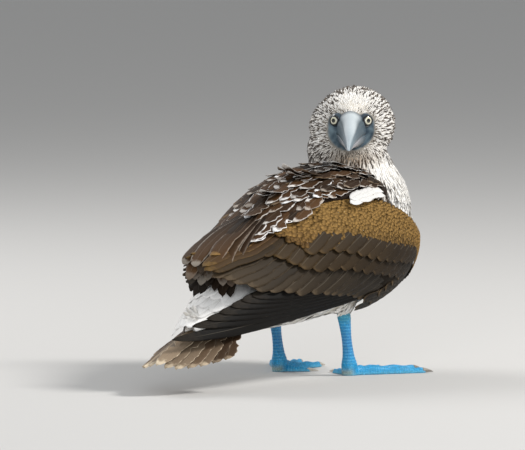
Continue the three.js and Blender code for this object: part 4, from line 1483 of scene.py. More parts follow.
@dataclass
class Wing:
    """A folded wing: underlayer, tiers of long feathers, and small scalloped coverts."""

    kit: MeshKit
    finishes: Finishes
    side: int
    seed: int = 11
    left_tuck: float = 25.0
    left_droop: float = 23.0
    left_share: float = 0.66
    primary_count: int = 7
    covert_step: float = 2.8

    blade_top = profile((-282, 53), (-262, 67), (-227, 82), (-186, 97), (-120, 108), (40, 108))
    blade_bottom = profile((-282, 51), (-218, 55), (-177, 60), (-121, 67), (-58, 72), (0, 76), (40, 84))
    blade_offset = profile(
        (-282, 14), (-255, 27), (-218, 39), (-177, 47), (-121, 54), (-60, 61), (0, 68), (40, 74)
    )
    covert_edge = profile((-125, 22), (-108, 48), (-78, 62), (-20, 76), (60, 92), (97, 104))

    @property
    def name(self) -> str:
        """Names the side."""
        return "right" if self.side == RIGHT else "left"

    def tuck(self, x: Array) -> Array:
        """Moves the left wing's rear forward, as it lies in the pose."""
        far = np.power(np.maximum(60 - np.asarray(x, float), 0) / 290, 2)
        return x + (self.left_tuck if self.side == LEFT else 0.0) * far

    def tiers(self) -> dict[str, Tier]:
        """Lists the tiers from the lowest outwards.

        Returns:
            The tiers by name.
        """
        quill = VaneLook(QUILL_DARK, QUILL_GREY * 0.8, mix(QUILL_GREY, BUFF, 0.12))
        rear_quill = VaneLook(QUILL_DARK, mix(QUILL_GREY, COVERT_GOLD, 0.15), mix(QUILL_GREY, BUFF, 0.15))
        olive = VaneLook(COVERT_OLIVE * 0.6, COVERT_OLIVE, mix(COVERT_OLIVE, BUFF, 0.08))
        gold = VaneLook(
            COVERT_OLIVE * 0.8, mix(COVERT_GOLD, COVERT_OLIVE, 0.82), mix(COVERT_GOLD, COVERT_OLIVE, 0.6)
        )
        return {
            "secondaries": Tier(
                profile((0, 66), (0.33, -20), (0.66, -80), (1, -98)),
                profile((0, 92), (0.33, 73), (0.66, 63), (1, 32)),
                profile((0, -22), (0.1, -45), (0.36, -93), (0.66, -171), (0.82, -200), (1, -229)),
                profile((0, 127), (0.1, 119), (0.36, 103), (0.66, 73), (0.82, 59), (1, 38)),
                15, 9.5, -8, -4.4, quill, rear_quill, 1.3,
            ),
            "greater": Tier(
                profile((0, 60), (0.5, -26), (1, -108)),
                profile((0, 96), (0.5, 74), (1, 32)),
                profile((0, 22), (0.4, -52), (0.75, -122), (1, -158)),
                profile((0, 108), (0.4, 87), (0.75, 69), (1, 38)),
                13, 11, -4.8, -1.2, olive, gold, 1.2,
            ),
            "median": Tier(
                profile((0, 76), (0.5, 18), (1, -60)),
                profile((0, 88), (0.5, 74), (1, 50)),
                profile((0, 44), (0.5, -26), (1, -112)),
                profile((0, 100), (0.5, 84), (1, 60)),
                12, 9.5, -2.2, 1.0, olive, gold, 1.0,
            ),
            "tertials": Tier(
                profile((0, -96), (1, -88)),
                profile((0, 36), (1, 22)),
                profile((0, -226), (0.5, -235), (1, -212)),
                profile((0, 34), (0.5, 22), (1, 14)),
                4, 8.5, -3.4, -0.4, gold, VaneLook(
                    MANTLE_MID, mix(COVERT_GOLD, MANTLE_MID, 0.7) * 0.85,
                    mix(COVERT_GOLD, COVERT_RIM, 0.3) * 0.9
                ), 1.1,
            ),
        }

    def add_tier(self, vanes: Vanes, tier: Tier) -> None:
        """Adds a tier's feathers, front to rear.

        Args:
            vanes: The batch that gets them.
            tier: The tier.
        """
        for i in range(tier.count):
            share = i / (tier.count - 1)
            root = (self.tuck(tier.root_x(share)), tier.root_around(share))
            tip = (
                self.tuck(tier.tip_x(share) + vanes.rng.uniform(-2, 2)),
                tier.tip_around(share) + vanes.rng.uniform(-0.6, 0.6)
            )
            front, rear = tier.look_front, tier.look_rear
            look = VaneLook(
                mix(front.root, rear.root, share), mix(front.tip, rear.tip, share),
                mix(front.rim, rear.rim, share)
            )

            def path(t: Array, root: tuple = root, tip: tuple = tip) -> Array:
                """Runs from root to tip over the plumage."""
                x = root[0] * (1 - t) + tip[0] * t
                return Envelope.point(x, self.side * (root[1] * (1 - t) + tip[1] * t), np.zeros_like(t))

            def lift(t: Array, tier: Tier = tier) -> Array:
                """Rises out of the layer below."""
                return tier.low + (tier.high - tier.low) * np.minimum(t * 2.1, 1)

            vanes.add(path, Envelope.settle, tier.half_width, lift, self.side, look, tier.tilt)

    def onto_blade(self, points: Array, lift: Array) -> Array:
        """Lays points on the primaries' blade.

        Args:
            points: Places in anchor millimetres.
            lift: Millimetres off the surface.

        Returns:
            The points.
        """
        x, z = points[..., 0], points[..., 2]
        share = np.clip((self.blade_top(x) - z) / 44, 0, 1)
        lean = profile((-200, 8), (-60, 0))(x)
        y = self.blade_offset(x) + 5 * np.sin(math.pi * share) - lean * (1 - share) + lift
        if self.side == LEFT:
            y = y - 17 * smoothstep(-150, -235, x)
        return np.stack([x, -self.side * y, z], -1)

    def add_primaries(self, vanes: Vanes) -> None:
        """Adds the long blackish primaries, the longest lowest.

        Args:
            vanes: The batch that gets them.
        """
        look = VaneLook(QUILL_DARK * 0.7, QUILL_DARK * 0.6, mix(QUILL_DARK, QUILL_GREY, 0.35), 0.08)
        last = self.primary_count - 1
        left = self.side == LEFT
        for i in range(self.primary_count):
            order = i / last
            tip_x = -275 + 91 * order**0.85 + (self.left_tuck * 1.4 if left else 0)
            half_width = 8.5 + 2 * order
            root_z = float(self.blade_bottom(34)) + 8 + 18 * order
            spread = (
                float(self.blade_top(tip_x) - self.blade_bottom(tip_x)) * (self.left_share if left else 1)
            )
            tip_z = float(self.blade_bottom(tip_x)) + max(spread - half_width * 0.6, 1)

            def path(t: Array, tip_x: float = tip_x, root_z: float = root_z, tip_z: float = tip_z) -> Array:
                """Runs from the wrist to the tip along the blade."""
                x = 34 + (tip_x - 34) * t
                droop = self.left_droop * np.power(np.maximum(20 - x, 0) / 210, 1.2) if left else 0 * x
                z = root_z + (tip_z - root_z) * t - droop
                return self.onto_blade(np.stack([x, 0 * x, z], -1), np.zeros_like(x))

            def lift(t: Array, i: int = i) -> Array:
                """Steps each feather over the last."""
                return -8 + 3 * np.minimum(2 * t, 1) + 0.8 * i

            vanes.add(
                path, self.onto_blade, half_width, lift, self.side, look, 0.5, round_from=0.62, ragged=0.02
            )

    def add_alula(self, vanes: Vanes) -> None:
        """Adds the dark feathers along the wrist's lower edge.

        Args:
            vanes: The batch that gets them.
        """
        look = VaneLook(QUILL_DARK, COVERT_OLIVE * 0.8, mix(COVERT_OLIVE, BUFF, 0.2))
        for row, (start, stop, lift_to) in enumerate(((118, 140, -1.8), (108, 132, -0.9))):
            for k in range(8):
                root = (84 - 8 * k - 6 * row, start + (stop - start) * min(k / 5, 1) - 5 * row)
                tip = (root[0] - 38, root[1] + 7 - k)

                def path(t: Array, root: tuple = root, tip: tuple = tip) -> Array:
                    """Runs back from the wrist."""
                    return Envelope.point(
                        root[0] + (tip[0] - root[0]) * t, self.side * (
                            root[1] + (tip[1] - root[1]) * t
                        ), 0 * t
                    )

                vanes.add(
                    path, Envelope.settle, 6.5, lambda t,
                    top=lift_to: -4 + (4 + top) * np.minimum(t * 2, 1), self.side, look
                )

    def coverts(self) -> tuple[Array, Array, Array, Array]:
        """Builds the small coverts as tufts over the wing's front and top.

        Returns:
            Points, triangles, tint and bake map.
        """
        rng = np.random.default_rng(self.seed + 5)
        rows = []
        for i, x in enumerate(np.arange(95, -122, -self.covert_step)):
            low, high = float(Envelope.wing_top(x)) - 3, float(self.covert_edge(x))
            high += float(smoothstep(58, 90, x)) * 34
            arounds = np.arange(low, high, self.covert_step * 0.75) + (i % 2) * 1.35
            rows += [
                (x + rng.normal(0, 0.5), a + rng.normal(0, 0.25), (a - low) / (high - low)) for a in arounds
            ]
        place = np.array(rows)
        x, around, share = self.tuck(place[:, 0]), self.side * place[:, 1], place[:, 2]
        roots = Envelope.point(x, around, np.full(len(x), 0.4))
        normals = unit(Envelope.point(x, around, np.full(len(x), 1.4)) - roots)
        slope = 0.1 + 0.5 * smoothstep(0.2, 1, share)
        ahead = Envelope.point(x - 5, around + self.side * 5 * slope, np.full(len(x), 0.4))
        count = len(x)
        length = mix(6.5, 11.0, smoothstep(90, -100, place[:, 0])) * rng.uniform(0.85, 1.15, count)
        shade = rng.normal(1, 0.09, (count, 1))
        top = mix(COVERT_GOLD, COVERT_OLIVE * 1.3, smoothstep(0.55, 1.0, share) * 0.75)
        top = mix(top, MANTLE_MID, smoothstep(-40, -110, place[:, 0]) * 0.5)
        pale = mix(COVERT_RIM, top, 0.38 + 0.4 * smoothstep(0.5, 1.0, share))
        tufts = Tufts(
            roots=roots,
            normals=normals,
            flow=ahead - roots,
            length=length,
            width=length * 0.66,
            rise=np.full(count, 0.11) + rng.normal(0, 0.015, count),
            hug=np.full(count, 1 / 190),
            base=top * 0.72 * shade,
            tip=pale * shade,
            turn=rng.normal(0, 0.1, count),
            steps=(0.0, 0.4, 0.7, 0.93),
            widths=(0.5, 1.0, 1.0, 0.62),
            fade=(0.0, 0.12, 0.4, 1.0),
            thickness=0.2,
        )
        points, triangles, tint = tufts.mesh()
        root_uv = np.stack([(place[:, 0] + 130) / 240, place[:, 1] / 180], -1)
        return points, triangles, tint, tufts.patches(np.clip(root_uv, 0.003, 0.997))

    def underlayer(self) -> Body:
        """Builds the closed form under the feathers.

        Returns:
            Points and triangles.
        """
        rows, columns = 40, 22
        place = np.linspace(-140, 96, rows)[:, None]
        share = np.linspace(0, 1, columns)[None]
        around = Envelope.wing_top(place) * (1 - share) + Envelope.wing_edge(place) * share
        front = smoothstep(0, 50, place)
        lift = profile((0, 0.2), (0.55, 0), (0.75, -2.2), (1, -4.5))(share) * (1 - front)
        lift = lift + profile((0, 0.2), (0.7, 0), (1, -1))(share) * front - 1.2
        edge = np.sqrt(np.maximum(1 - (2 * share - 1) ** 4, 0))
        depth = np.maximum(profile((-142, 3), (-100, 9), (-60, 15), (60, 17), (97, 8))(place) * edge, 0.8)
        faces = [
            Envelope.point(self.tuck(place) + 0 * share, self.side * around, lift - d)
            for d in (0 * depth, depth)
        ]
        rings = np.concatenate([faces[0], faces[1][:, ::-1]], 1)
        return tube(rings)

    def build(self) -> None:
        """Builds the wing's pieces."""
        wing = f"wing_{self.name}"
        soft, dark = self.finishes.down, COVERT_OLIVE * 0.6
        self.kit.add(f"{wing}_underlayer", self.underlayer(), soft, Slot.BROWN, wing, tint=dark)
        rng = np.random.default_rng(self.seed)
        quills = Vanes(rng, rows=26, columns=9)
        tiers = self.tiers()
        self.add_primaries(quills)
        self.add_tier(quills, tiers["secondaries"])
        quills.build(self.kit, f"{wing}_quills", self.finishes.vane, Slot.BROWN)
        cover = Vanes(rng, rows=20, columns=9)
        for key in ("greater", "median", "tertials"):
            self.add_tier(cover, tiers[key])
        self.add_alula(cover)
        cover.build(self.kit, f"{wing}_coverts", self.finishes.vane, Slot.BROWN)
        points, triangles, tint, bake = self.coverts()
        body, uvs = (points, triangles), {"OFBake": bake}
        self.kit.add(f"{wing}_lesser", body, self.finishes.coat, Slot.BROWN, uvs=uvs, tint=tint)


@dataclass
class Mantle:
    """The brown shoulder feathers with worn white tips, some ruffled up."""

    kit: MeshKit
    finishes: Finishes
    seed: int = 29
    rows: int = 13
    ruffle: float = 5.0

    ruffled = (
        (-16, 3, 44, 21), (-12, -3, 40, 14), (-22, 8, 42, 15), (-10, 12, 36, 11),
        (-58, 2, 44, 17), (-62, -4, 40, 11), (-54, 8, 40, 10), (-92, 3, 46, 10),
    )
    cape_edge = profile((-150, 20), (-110, 27), (-60, 35), (0, 45), (35, 46), (64, 26))

    def cape(self) -> Body:
        """Builds the closed form under the mantle's feathers.

        Returns:
            Points and triangles.
        """
        x = np.linspace(-148, 60, 30)[:, None]
        share = np.linspace(-1, 1, 20)[None]
        around = self.cape_edge(x) * share
        lift = profile((-150, 2.2), (-80, 2.4), (0, 2.6), (60, 1.8))(x)
        faces = [Envelope.point(x + 0 * share, around, lift - d) for d in (0.0, 1.6)]
        return tube(np.concatenate([faces[0], faces[1][:, ::-1]], 1))

    def build(self) -> None:
        """Builds cape and feathers."""
        soft = self.finishes.down
        self.kit.add("mantle_underlayer", self.cape(), soft, Slot.BROWN, "mantle", tint=MANTLE_DARK)
        rng = np.random.default_rng(self.seed)
        vanes = Vanes(rng, rows=14, columns=7)
        for row in range(self.rows):
            share = row / (self.rows - 1)
            root_x = -100 + 158 * share
            edge = float(self.cape_edge(root_x)) * 0.96
            length = 66 - 32 * share
            number = int(round(edge * 2 / (7.6 - 1.2 * share))) + 1
            for k in range(number):
                spot = -edge + 2 * edge * (k + 0.5 * (row % 2)) / number + rng.normal(0, 0.5)
                if -44 < root_x < 26 and abs(spot) > 34:
                    continue
                self.feather(
                    vanes, rng, root_x + rng.normal(0, 2), spot, length * rng.uniform(0.85, 1.12), share
                )
        self.white_patch(vanes, rng)
        self.rear_scapulars(vanes, rng)
        for x, around, length, raised in self.ruffled:
            self.feather(vanes, rng, x, around, length, 0.6, raised)
        vanes.build(self.kit, "mantle_feathers", self.finishes.shoulder, Slot.BROWN)

    def white_patch(self, vanes: Vanes, rng: np.random.Generator) -> None:
        """Adds the plain white feathers low on each shoulder.

        Args:
            vanes: The batch that gets them.
            rng: Source of the draws.
        """
        look = VaneLook(WHITE * 0.7, WHITE * 0.85, WHITE * 0.85, 0.02)
        for side in (RIGHT, LEFT):
            for k in range(12):
                root = (
                    30 - 7.5 * (k // 2) + rng.normal(0, 1), side * (42 + 3 * (k % 2) + rng.normal(0, 0.3))
                )

                def path(t: Array, root: tuple = root, side: int = side) -> Array:
                    """Runs back low on the shoulder."""
                    return Envelope.point(root[0] - 26 * t, root[1] + side * 2 * t, 0 * t)

                vanes.add(
                    path, Envelope.settle, 5.2, lambda t: 1.5 + 5.6 * np.minimum(2 * t, 1), side, look, 0.6,
                    0.6, 0.02
                )

    def rear_scapulars(self, vanes: Vanes, rng: np.random.Generator) -> None:
        """Adds the broad grey-brown feathers that close over the rump and hang down behind, the lower rows
        darkened as painted shade.

        Args:
            vanes: The batch that gets them.
            rng: Source of the draws.
        """
        for row in range(3):
            for k in range(7):
                share = (k - 3 + 0.5 * (row % 2)) / 3.5
                start = Envelope.point(-110 - 9 * row, 14 * share, 2.0)
                middle = Envelope.point(-184 - 7 * row, 16 * share, 4.0)
                end = np.array([-201 - 5 * row + 8 * share**2, -27 * share, 92 + 11 * row + rng.normal(0, 4)])
                # Darker for the lower rows, which lie under the others: painted shade of the hollow under the
                # wing's rear.
                body = mix(QUILL_GREY, MANTLE_MID, rng.random()) * (0.25 + 0.5 * row)
                look = VaneLook(MANTLE_DARK, body, mix(body, WARM_WHITE, 0.3 * row * rng.random()), 0.12)

                def path(t: Array, start: Array = start, middle: Array = middle, end: Array = end) -> Array:
                    """Runs back along the ridge and bends down."""
                    t = t[:, None]
                    return start * (1 - t) ** 2 + middle * 2 * t * (1 - t) + end * t * t

                vanes.add(
                    path, self.hang, 9.5, lambda t, top=row: 1.4 * top + 0 * t, 1 if share >= 0 else -1,
                    look, 0.8, 0.7
                )

    @staticmethod
    def hang(points: Array, lift: Array) -> Array:
        """Lays points on the rear curtain, which faces up in front and back behind.

        Args:
            points: Places in anchor millimetres.
            lift: Millimetres off the surface.

        Returns:
            The points.
        """
        x, y, z = np.moveaxis(points, -1, 0)
        behind = smoothstep(-150, -205, x) * smoothstep(145, 105, z)
        outward = unit(np.stack([-0.15 - behind, 0.012 * y, 1.0 - 0.85 * behind], -1))
        return points + outward * np.asarray(lift, float)[..., None]

    def feather(
        self,
        vanes: Vanes,
        rng: np.random.Generator,
        x: float,
        around: float,
        length: float,
        share: float,
        ruffled: float | None = None,
    ) -> None:
        """Adds one mantle feather.

        Args:
            vanes: The batch it joins.
            rng: The seeded draw.
            x: Its root's X.
            around: Its root's degrees from the ridge.
            length: Its length.
            share: 0 for the rear row and 1 for the front row.
            ruffled: How high its tip is raised, where it is set.
        """
        side = 1 if around >= 0 else -1
        outward = around * 0.12 + rng.normal(0, 2.6)
        raised = self.ruffle * max(rng.normal(0.1, 0.4), 0) * (0.4 + share) if ruffled is None else ruffled
        top = 3.2 + 3.2 * share + rng.uniform(-0.5, 0.8)
        bright = np.clip(
            rng.normal(0.5, 0.35) + 0.3 * math.cos(math.radians(2.5 * around)) - 0.25 * share, 0, 1
        )
        body = mix(MANTLE_DARK, MANTLE_MID, rng.random())
        rim = mix(mix(body, BUFF, 0.5), WHITE, bright)
        look = VaneLook(body * 0.7, body, rim, 0.1)

        def path(t: Array) -> Array:
            """Runs back over the shoulder."""
            return Envelope.point(x - length * t, around + outward * t, 0 * t)

        def lift(t: Array) -> Array:
            """Rises out of the cape and lifts where ruffled."""
            return 1.2 + (top - 1.2) * np.minimum(t * 2.4, 1) + raised * t**3

        width = 7.8 - 2.2 * share + 1.5 * rng.random()
        vanes.add(
            path, Envelope.settle, width, lift, side, look, 0.7, round_from=0.55 + 0.2 * rng.random(),
            ragged=0.3
        )


@dataclass
class Tail:
    """The graduated tail in a low roof, with the white rump coverts over its base."""

    kit: MeshKit
    finishes: Finishes
    pairs: int = 7
    seed: int = 41

    tip_x = profile((0, -299), (1, -295), (2, -287), (3, -274), (4, -260), (5, -246), (6, -232))
    tip_side = profile((0, 4.5), (1, 12), (2, 19.5), (6, 42))
    tip_z = profile((0, 29), (1, 28), (2, 27.5), (4, 30.5), (6, 37))

    @staticmethod
    def roof(slope: float) -> Callable[[Array, Array], Array]:
        """Makes the function that lays a feather flat on its roof slope."""
        outward = unit(np.array([-0.36, slope, 1.0]))
        return lambda points, lift: points + outward * np.asarray(lift, float)[..., None]

    def build(self) -> None:
        """Builds the tail feathers and the rump coverts."""
        rng = np.random.default_rng(self.seed)
        vanes = Vanes(rng, rows=24, columns=9)
        for side in (RIGHT, LEFT):
            for k in reversed(range(self.pairs)):
                root = np.array([-173, -side * (2 + 2.8 * k), 78 - 1.5 * k])
                tip = np.array(
                    [float(self.tip_x(k)), -side * float(self.tip_side(k)), float(self.tip_z(k)) - 0.7 * k]
                )
                pale = np.clip(0.95 - 0.17 * k + rng.normal(0, 0.15), 0.1, 1)
                look = VaneLook(
                    TAIL_BUFF * 0.2, mix(TAIL_BUFF * (0.75 - 0.06 * k), TAIL_PALE, pale * 0.36),
                    mix(TAIL_BUFF, TAIL_PALE, 0.4 + 0.6 * pale), 0.2
                )
                raise_by = 1.6 if side > 0 and k == 0 else 0.0

                def path(t: Array, root: Array = root, tip: Array = tip) -> Array:
                    """Runs from the rump to the tip."""
                    return root + (tip - root) * t[:, None]

                vanes.add(
                    path, self.roof(
                        -side * 0.5
                    ), 8.6, lambda t, r=raise_by: r * np.minimum(2 * t, 1), side, look,
                    1.0, round_from=0.8, ragged=0.22,
                )
        vanes.build(self.kit, "tail_feathers", self.finishes.vane, Slot.TAIL, "tail")
        self.rump(rng)

    def rump(self, rng: np.random.Generator) -> None:
        """Builds the white coverts from the back's end to the tail's base.

        Args:
            rng: Source of the draws.
        """
        vanes = Vanes(rng, rows=16, columns=7)
        look = VaneLook(WHITE * 0.9, WHITE, WHITE, 0.03)
        for row in range(4):
            for k in range(-3, 4) if row < 3 else range(-2, 3):
                turn = k * 21 + 10 * (row % 2) + rng.normal(0, 2)
                slide = math.sin(math.radians(turn))
                drop = 1 - math.cos(math.radians(turn))
                start = np.array([-146 - 9 * row, 26 * slide, 112 - 7 * row - 20 * drop])
                end = np.array(
                    [-206 - 12 * row + 12 * drop, (29 - 2.5 * row) * slide, 89 - 8.8 * row - 24 * drop]
                )
                bend = (start + end) / 2 + np.array([0, 0, 8.0])

                def path(t: Array, a: Array = start, b: Array = bend, c: Array = end) -> Array:
                    """Bends down over the rump."""
                    t = t[:, None]
                    return a * (1 - t) ** 2 + b * 2 * t * (1 - t) + c * t**2

                vanes.add(
                    path, self.roof(slide * 0.95), 11.5, lambda t: 0.6 * t, 1, look, 0.15, round_from=0.6,
                    ragged=0.0
                )
        vanes.build(self.kit, "rump_coverts", self.finishes.vane, Slot.WHITE)


@dataclass
class Bill:
    """The long, straight, pointed bill with its side groove and plates."""

    kit: MeshKit
    form: BodyForm
    finishes: Finishes
    rings: int = 70
    arc: int = 40
    tip_ahead: float = 134.0
    mouth_gap: float = 0.6

    culmen = profile(
        (22, 19.5), (36, 18), (50, 16.2), (70, 12.5), (95, 7), (115, 2.2), (127, -1.6), (134, -5.6)
    )
    mouth = profile((20, -4.5), (60, -3.8), (100, -3.6), (134, -6.2))
    underside = profile((22, -20), (36, -18), (55, -15), (80, -11.5), (110, -8.4), (131, -6.6))
    half_width = profile(
        (22, 15.5), (32, 14.6), (42, 12.5), (60, 10), (85, 7.2), (108, 4.6), (126, 2.4), (134, 1)
    )

    def mandible(self, tip: float, outer: Profile, shift: float) -> Body:
        """Builds one mandible.

        Args:
            tip: How far ahead it ends.
            outer: Its culmen or underside.
            shift: How far its mouth side stands off the mouth line.

        Returns:
            Points and triangles.
        """
        ahead = np.linspace(20, tip, self.rings)[:, None]
        turn = np.linspace(0, math.pi, self.arc)[None]
        mouth = self.mouth(ahead) + shift
        arch = np.sin(turn) ** 0.8
        groove = np.exp(-((arch - 0.62) ** 2) / 0.0022) * smoothstep(112, 96, ahead) * 0.9
        ridge = np.exp(-((arch - 1.0) ** 2) / 0.004) * 0.3
        width = self.half_width(ahead) * np.cos(turn)
        upper = shift > 0
        inward = 1 - (groove / np.maximum(self.half_width(ahead), 2) if upper else 0 * groove)
        height = mouth + (outer(ahead) - mouth) * arch + (ridge if upper else 0)
        side = self.form.head_point(ahead, width * inward, height)
        floor_turn = np.linspace(math.pi, 0, 10)[None, 1:-1]
        floor = self.form.head_point(
            ahead, self.half_width(ahead) * np.cos(floor_turn), mouth + 0 * floor_turn
        )
        return tube(np.concatenate([side, floor], 1))

    def build(self) -> None:
        """Builds both mandibles and their colours, with a painted highlight along the top of the upper
        mandible.
        """
        for name, tip, outer, shift in (
            ("bill_upper", self.tip_ahead, self.culmen, self.mouth_gap / 2),
            ("bill_lower", self.tip_ahead - 3, self.underside, -self.mouth_gap / 2),
        ):
            points, triangles = self.mandible(tip, outer, shift)
            ahead, _, above = self.form.head_place(points).T
            rise = np.clip((above - self.mouth(ahead)) / (self.culmen(ahead) - self.mouth(ahead)), 0, 1)
            # Painted highlight: the top of the upper mandible shades to a pale band along the culmen.
            colour = mix(HORN_SLATE, PAINTED_CULMEN_HIGHLIGHT, smoothstep(0.58, 0.92, rise + 0.05 * np.sin(ahead * 0.09)))
            colour = mix(colour, HORN_TIP, smoothstep(70, 120, ahead) * 0.5)
            if shift < 0:
                colour = mix(LOWER_HORN, LOWER_HORN_TIP, smoothstep(36, 90, ahead))
            colour = mix(FACE_SLATE, colour, smoothstep(26, 44, ahead))
            body = (points, triangles)
            self.kit.add(f"{name}_horn", body, self.finishes.bill, Slot.BILL, name, tint=colour)


@dataclass
class Eyes:
    """Both eyes in their sockets, with the bare ring of lid round each."""

    kit: MeshKit
    form: BodyForm
    finishes: Finishes
    radius: float = 8.0
    lid_radius: float = 4.9
    pupil_deg: float = 15.5
    iris_deg: float = 26.0

    def build(self) -> None:
        """Builds balls and lids."""
        for side, name in ((-1, "right"), (1, "left")):
            centre = self.form.head_point(23.4, side * 13.2, 8.5)
            look = unit(self.form.ahead * 0.82 + self.form.beside * side * 0.55 + self.form.above * 0.1)
            across = unit(np.cross(look, self.form.above))
            up = np.cross(across, look)
            angle = np.radians(np.concatenate([np.linspace(0.5, 60, 60), np.linspace(65, 179, 20)]))[:, None]
            turn = turns(64)[None]
            ring = np.stack(
                [np.sin(angle) * np.cos(turn), np.sin(angle) * np.sin(turn), np.cos(angle) + 0 * turn], -1
            )
            bulge = 1 + 0.04 * np.exp(-((angle / 0.7) ** 2))
            points, triangles = tube(
                centre + (ring * bulge[..., None]) @ np.stack([across, up, look]) * self.radius
            )
            degrees = np.degrees(np.arccos(np.clip(unit(points - centre) @ look, -1, 1)))
            spoke = 0.5 + 0.5 * np.sin(31 * np.arctan2((points - centre) @ up, (points - centre) @ across))
            iris = mix(IRIS, IRIS_INNER, spoke * 0.5 * smoothstep(self.iris_deg, self.pupil_deg, degrees))
            colour = mix(
                np.zeros(3) + 0.004, iris, smoothstep(self.pupil_deg - 0.7, self.pupil_deg + 0.7, degrees)
            )
            colour = mix(colour, EYE_RING, smoothstep(self.iris_deg - 2, self.iris_deg + 3, degrees))
            colour = mix(colour, FACE_SLATE, smoothstep(40, 46, degrees))
            body = (points, triangles)
            self.kit.add(f"eyeball_{name}", body, self.finishes.eye, Slot.EYE, f"eye_{name}", tint=colour)
            self.lid(name, centre, np.stack([across, up, look]))

    def lid(self, name: str, centre: Array, axes: Array) -> None:
        """Builds the bare ring round one eye.

        Args:
            name: The side's name.
            centre: The eyeball's middle.
            axes: The eye's across, up and look directions.
        """
        turn = turns(72)[:, None]
        tube_turn = turns(14)[None]
        size = 1.0 + 0.1 * np.cos(2 * turn) + 0.06 * np.sin(9 * turn)
        reach = self.lid_radius + size * np.cos(tube_turn)
        depth = math.sqrt(self.radius**2 - self.lid_radius**2) - 0.2 + size * np.sin(tube_turn)
        local = np.stack([reach * np.cos(turn), reach * np.sin(turn) * 0.92, depth + 0 * turn], -1)
        rings = centre + local @ axes
        points = rings.reshape(-1, 3)
        grid = grid_triangles(73, 14, closed=True) % (72 * 14)
        self.kit.add(f"lid_{name}", facing_out(points, grid), self.finishes.lid, Slot.EYE, tint=LID_BLACK)


@dataclass(frozen=True)
class Toe:
    """A toe by its heading from straight ahead towards the outer side."""

    name: str
    heading: float
    length: float
    width: float


TOES = (Toe("outer", 38, 80, 9), Toe("middle", 18, 86, 9.5), Toe("inner", -5, 67, 9), Toe("hind", -64, 30, 7))


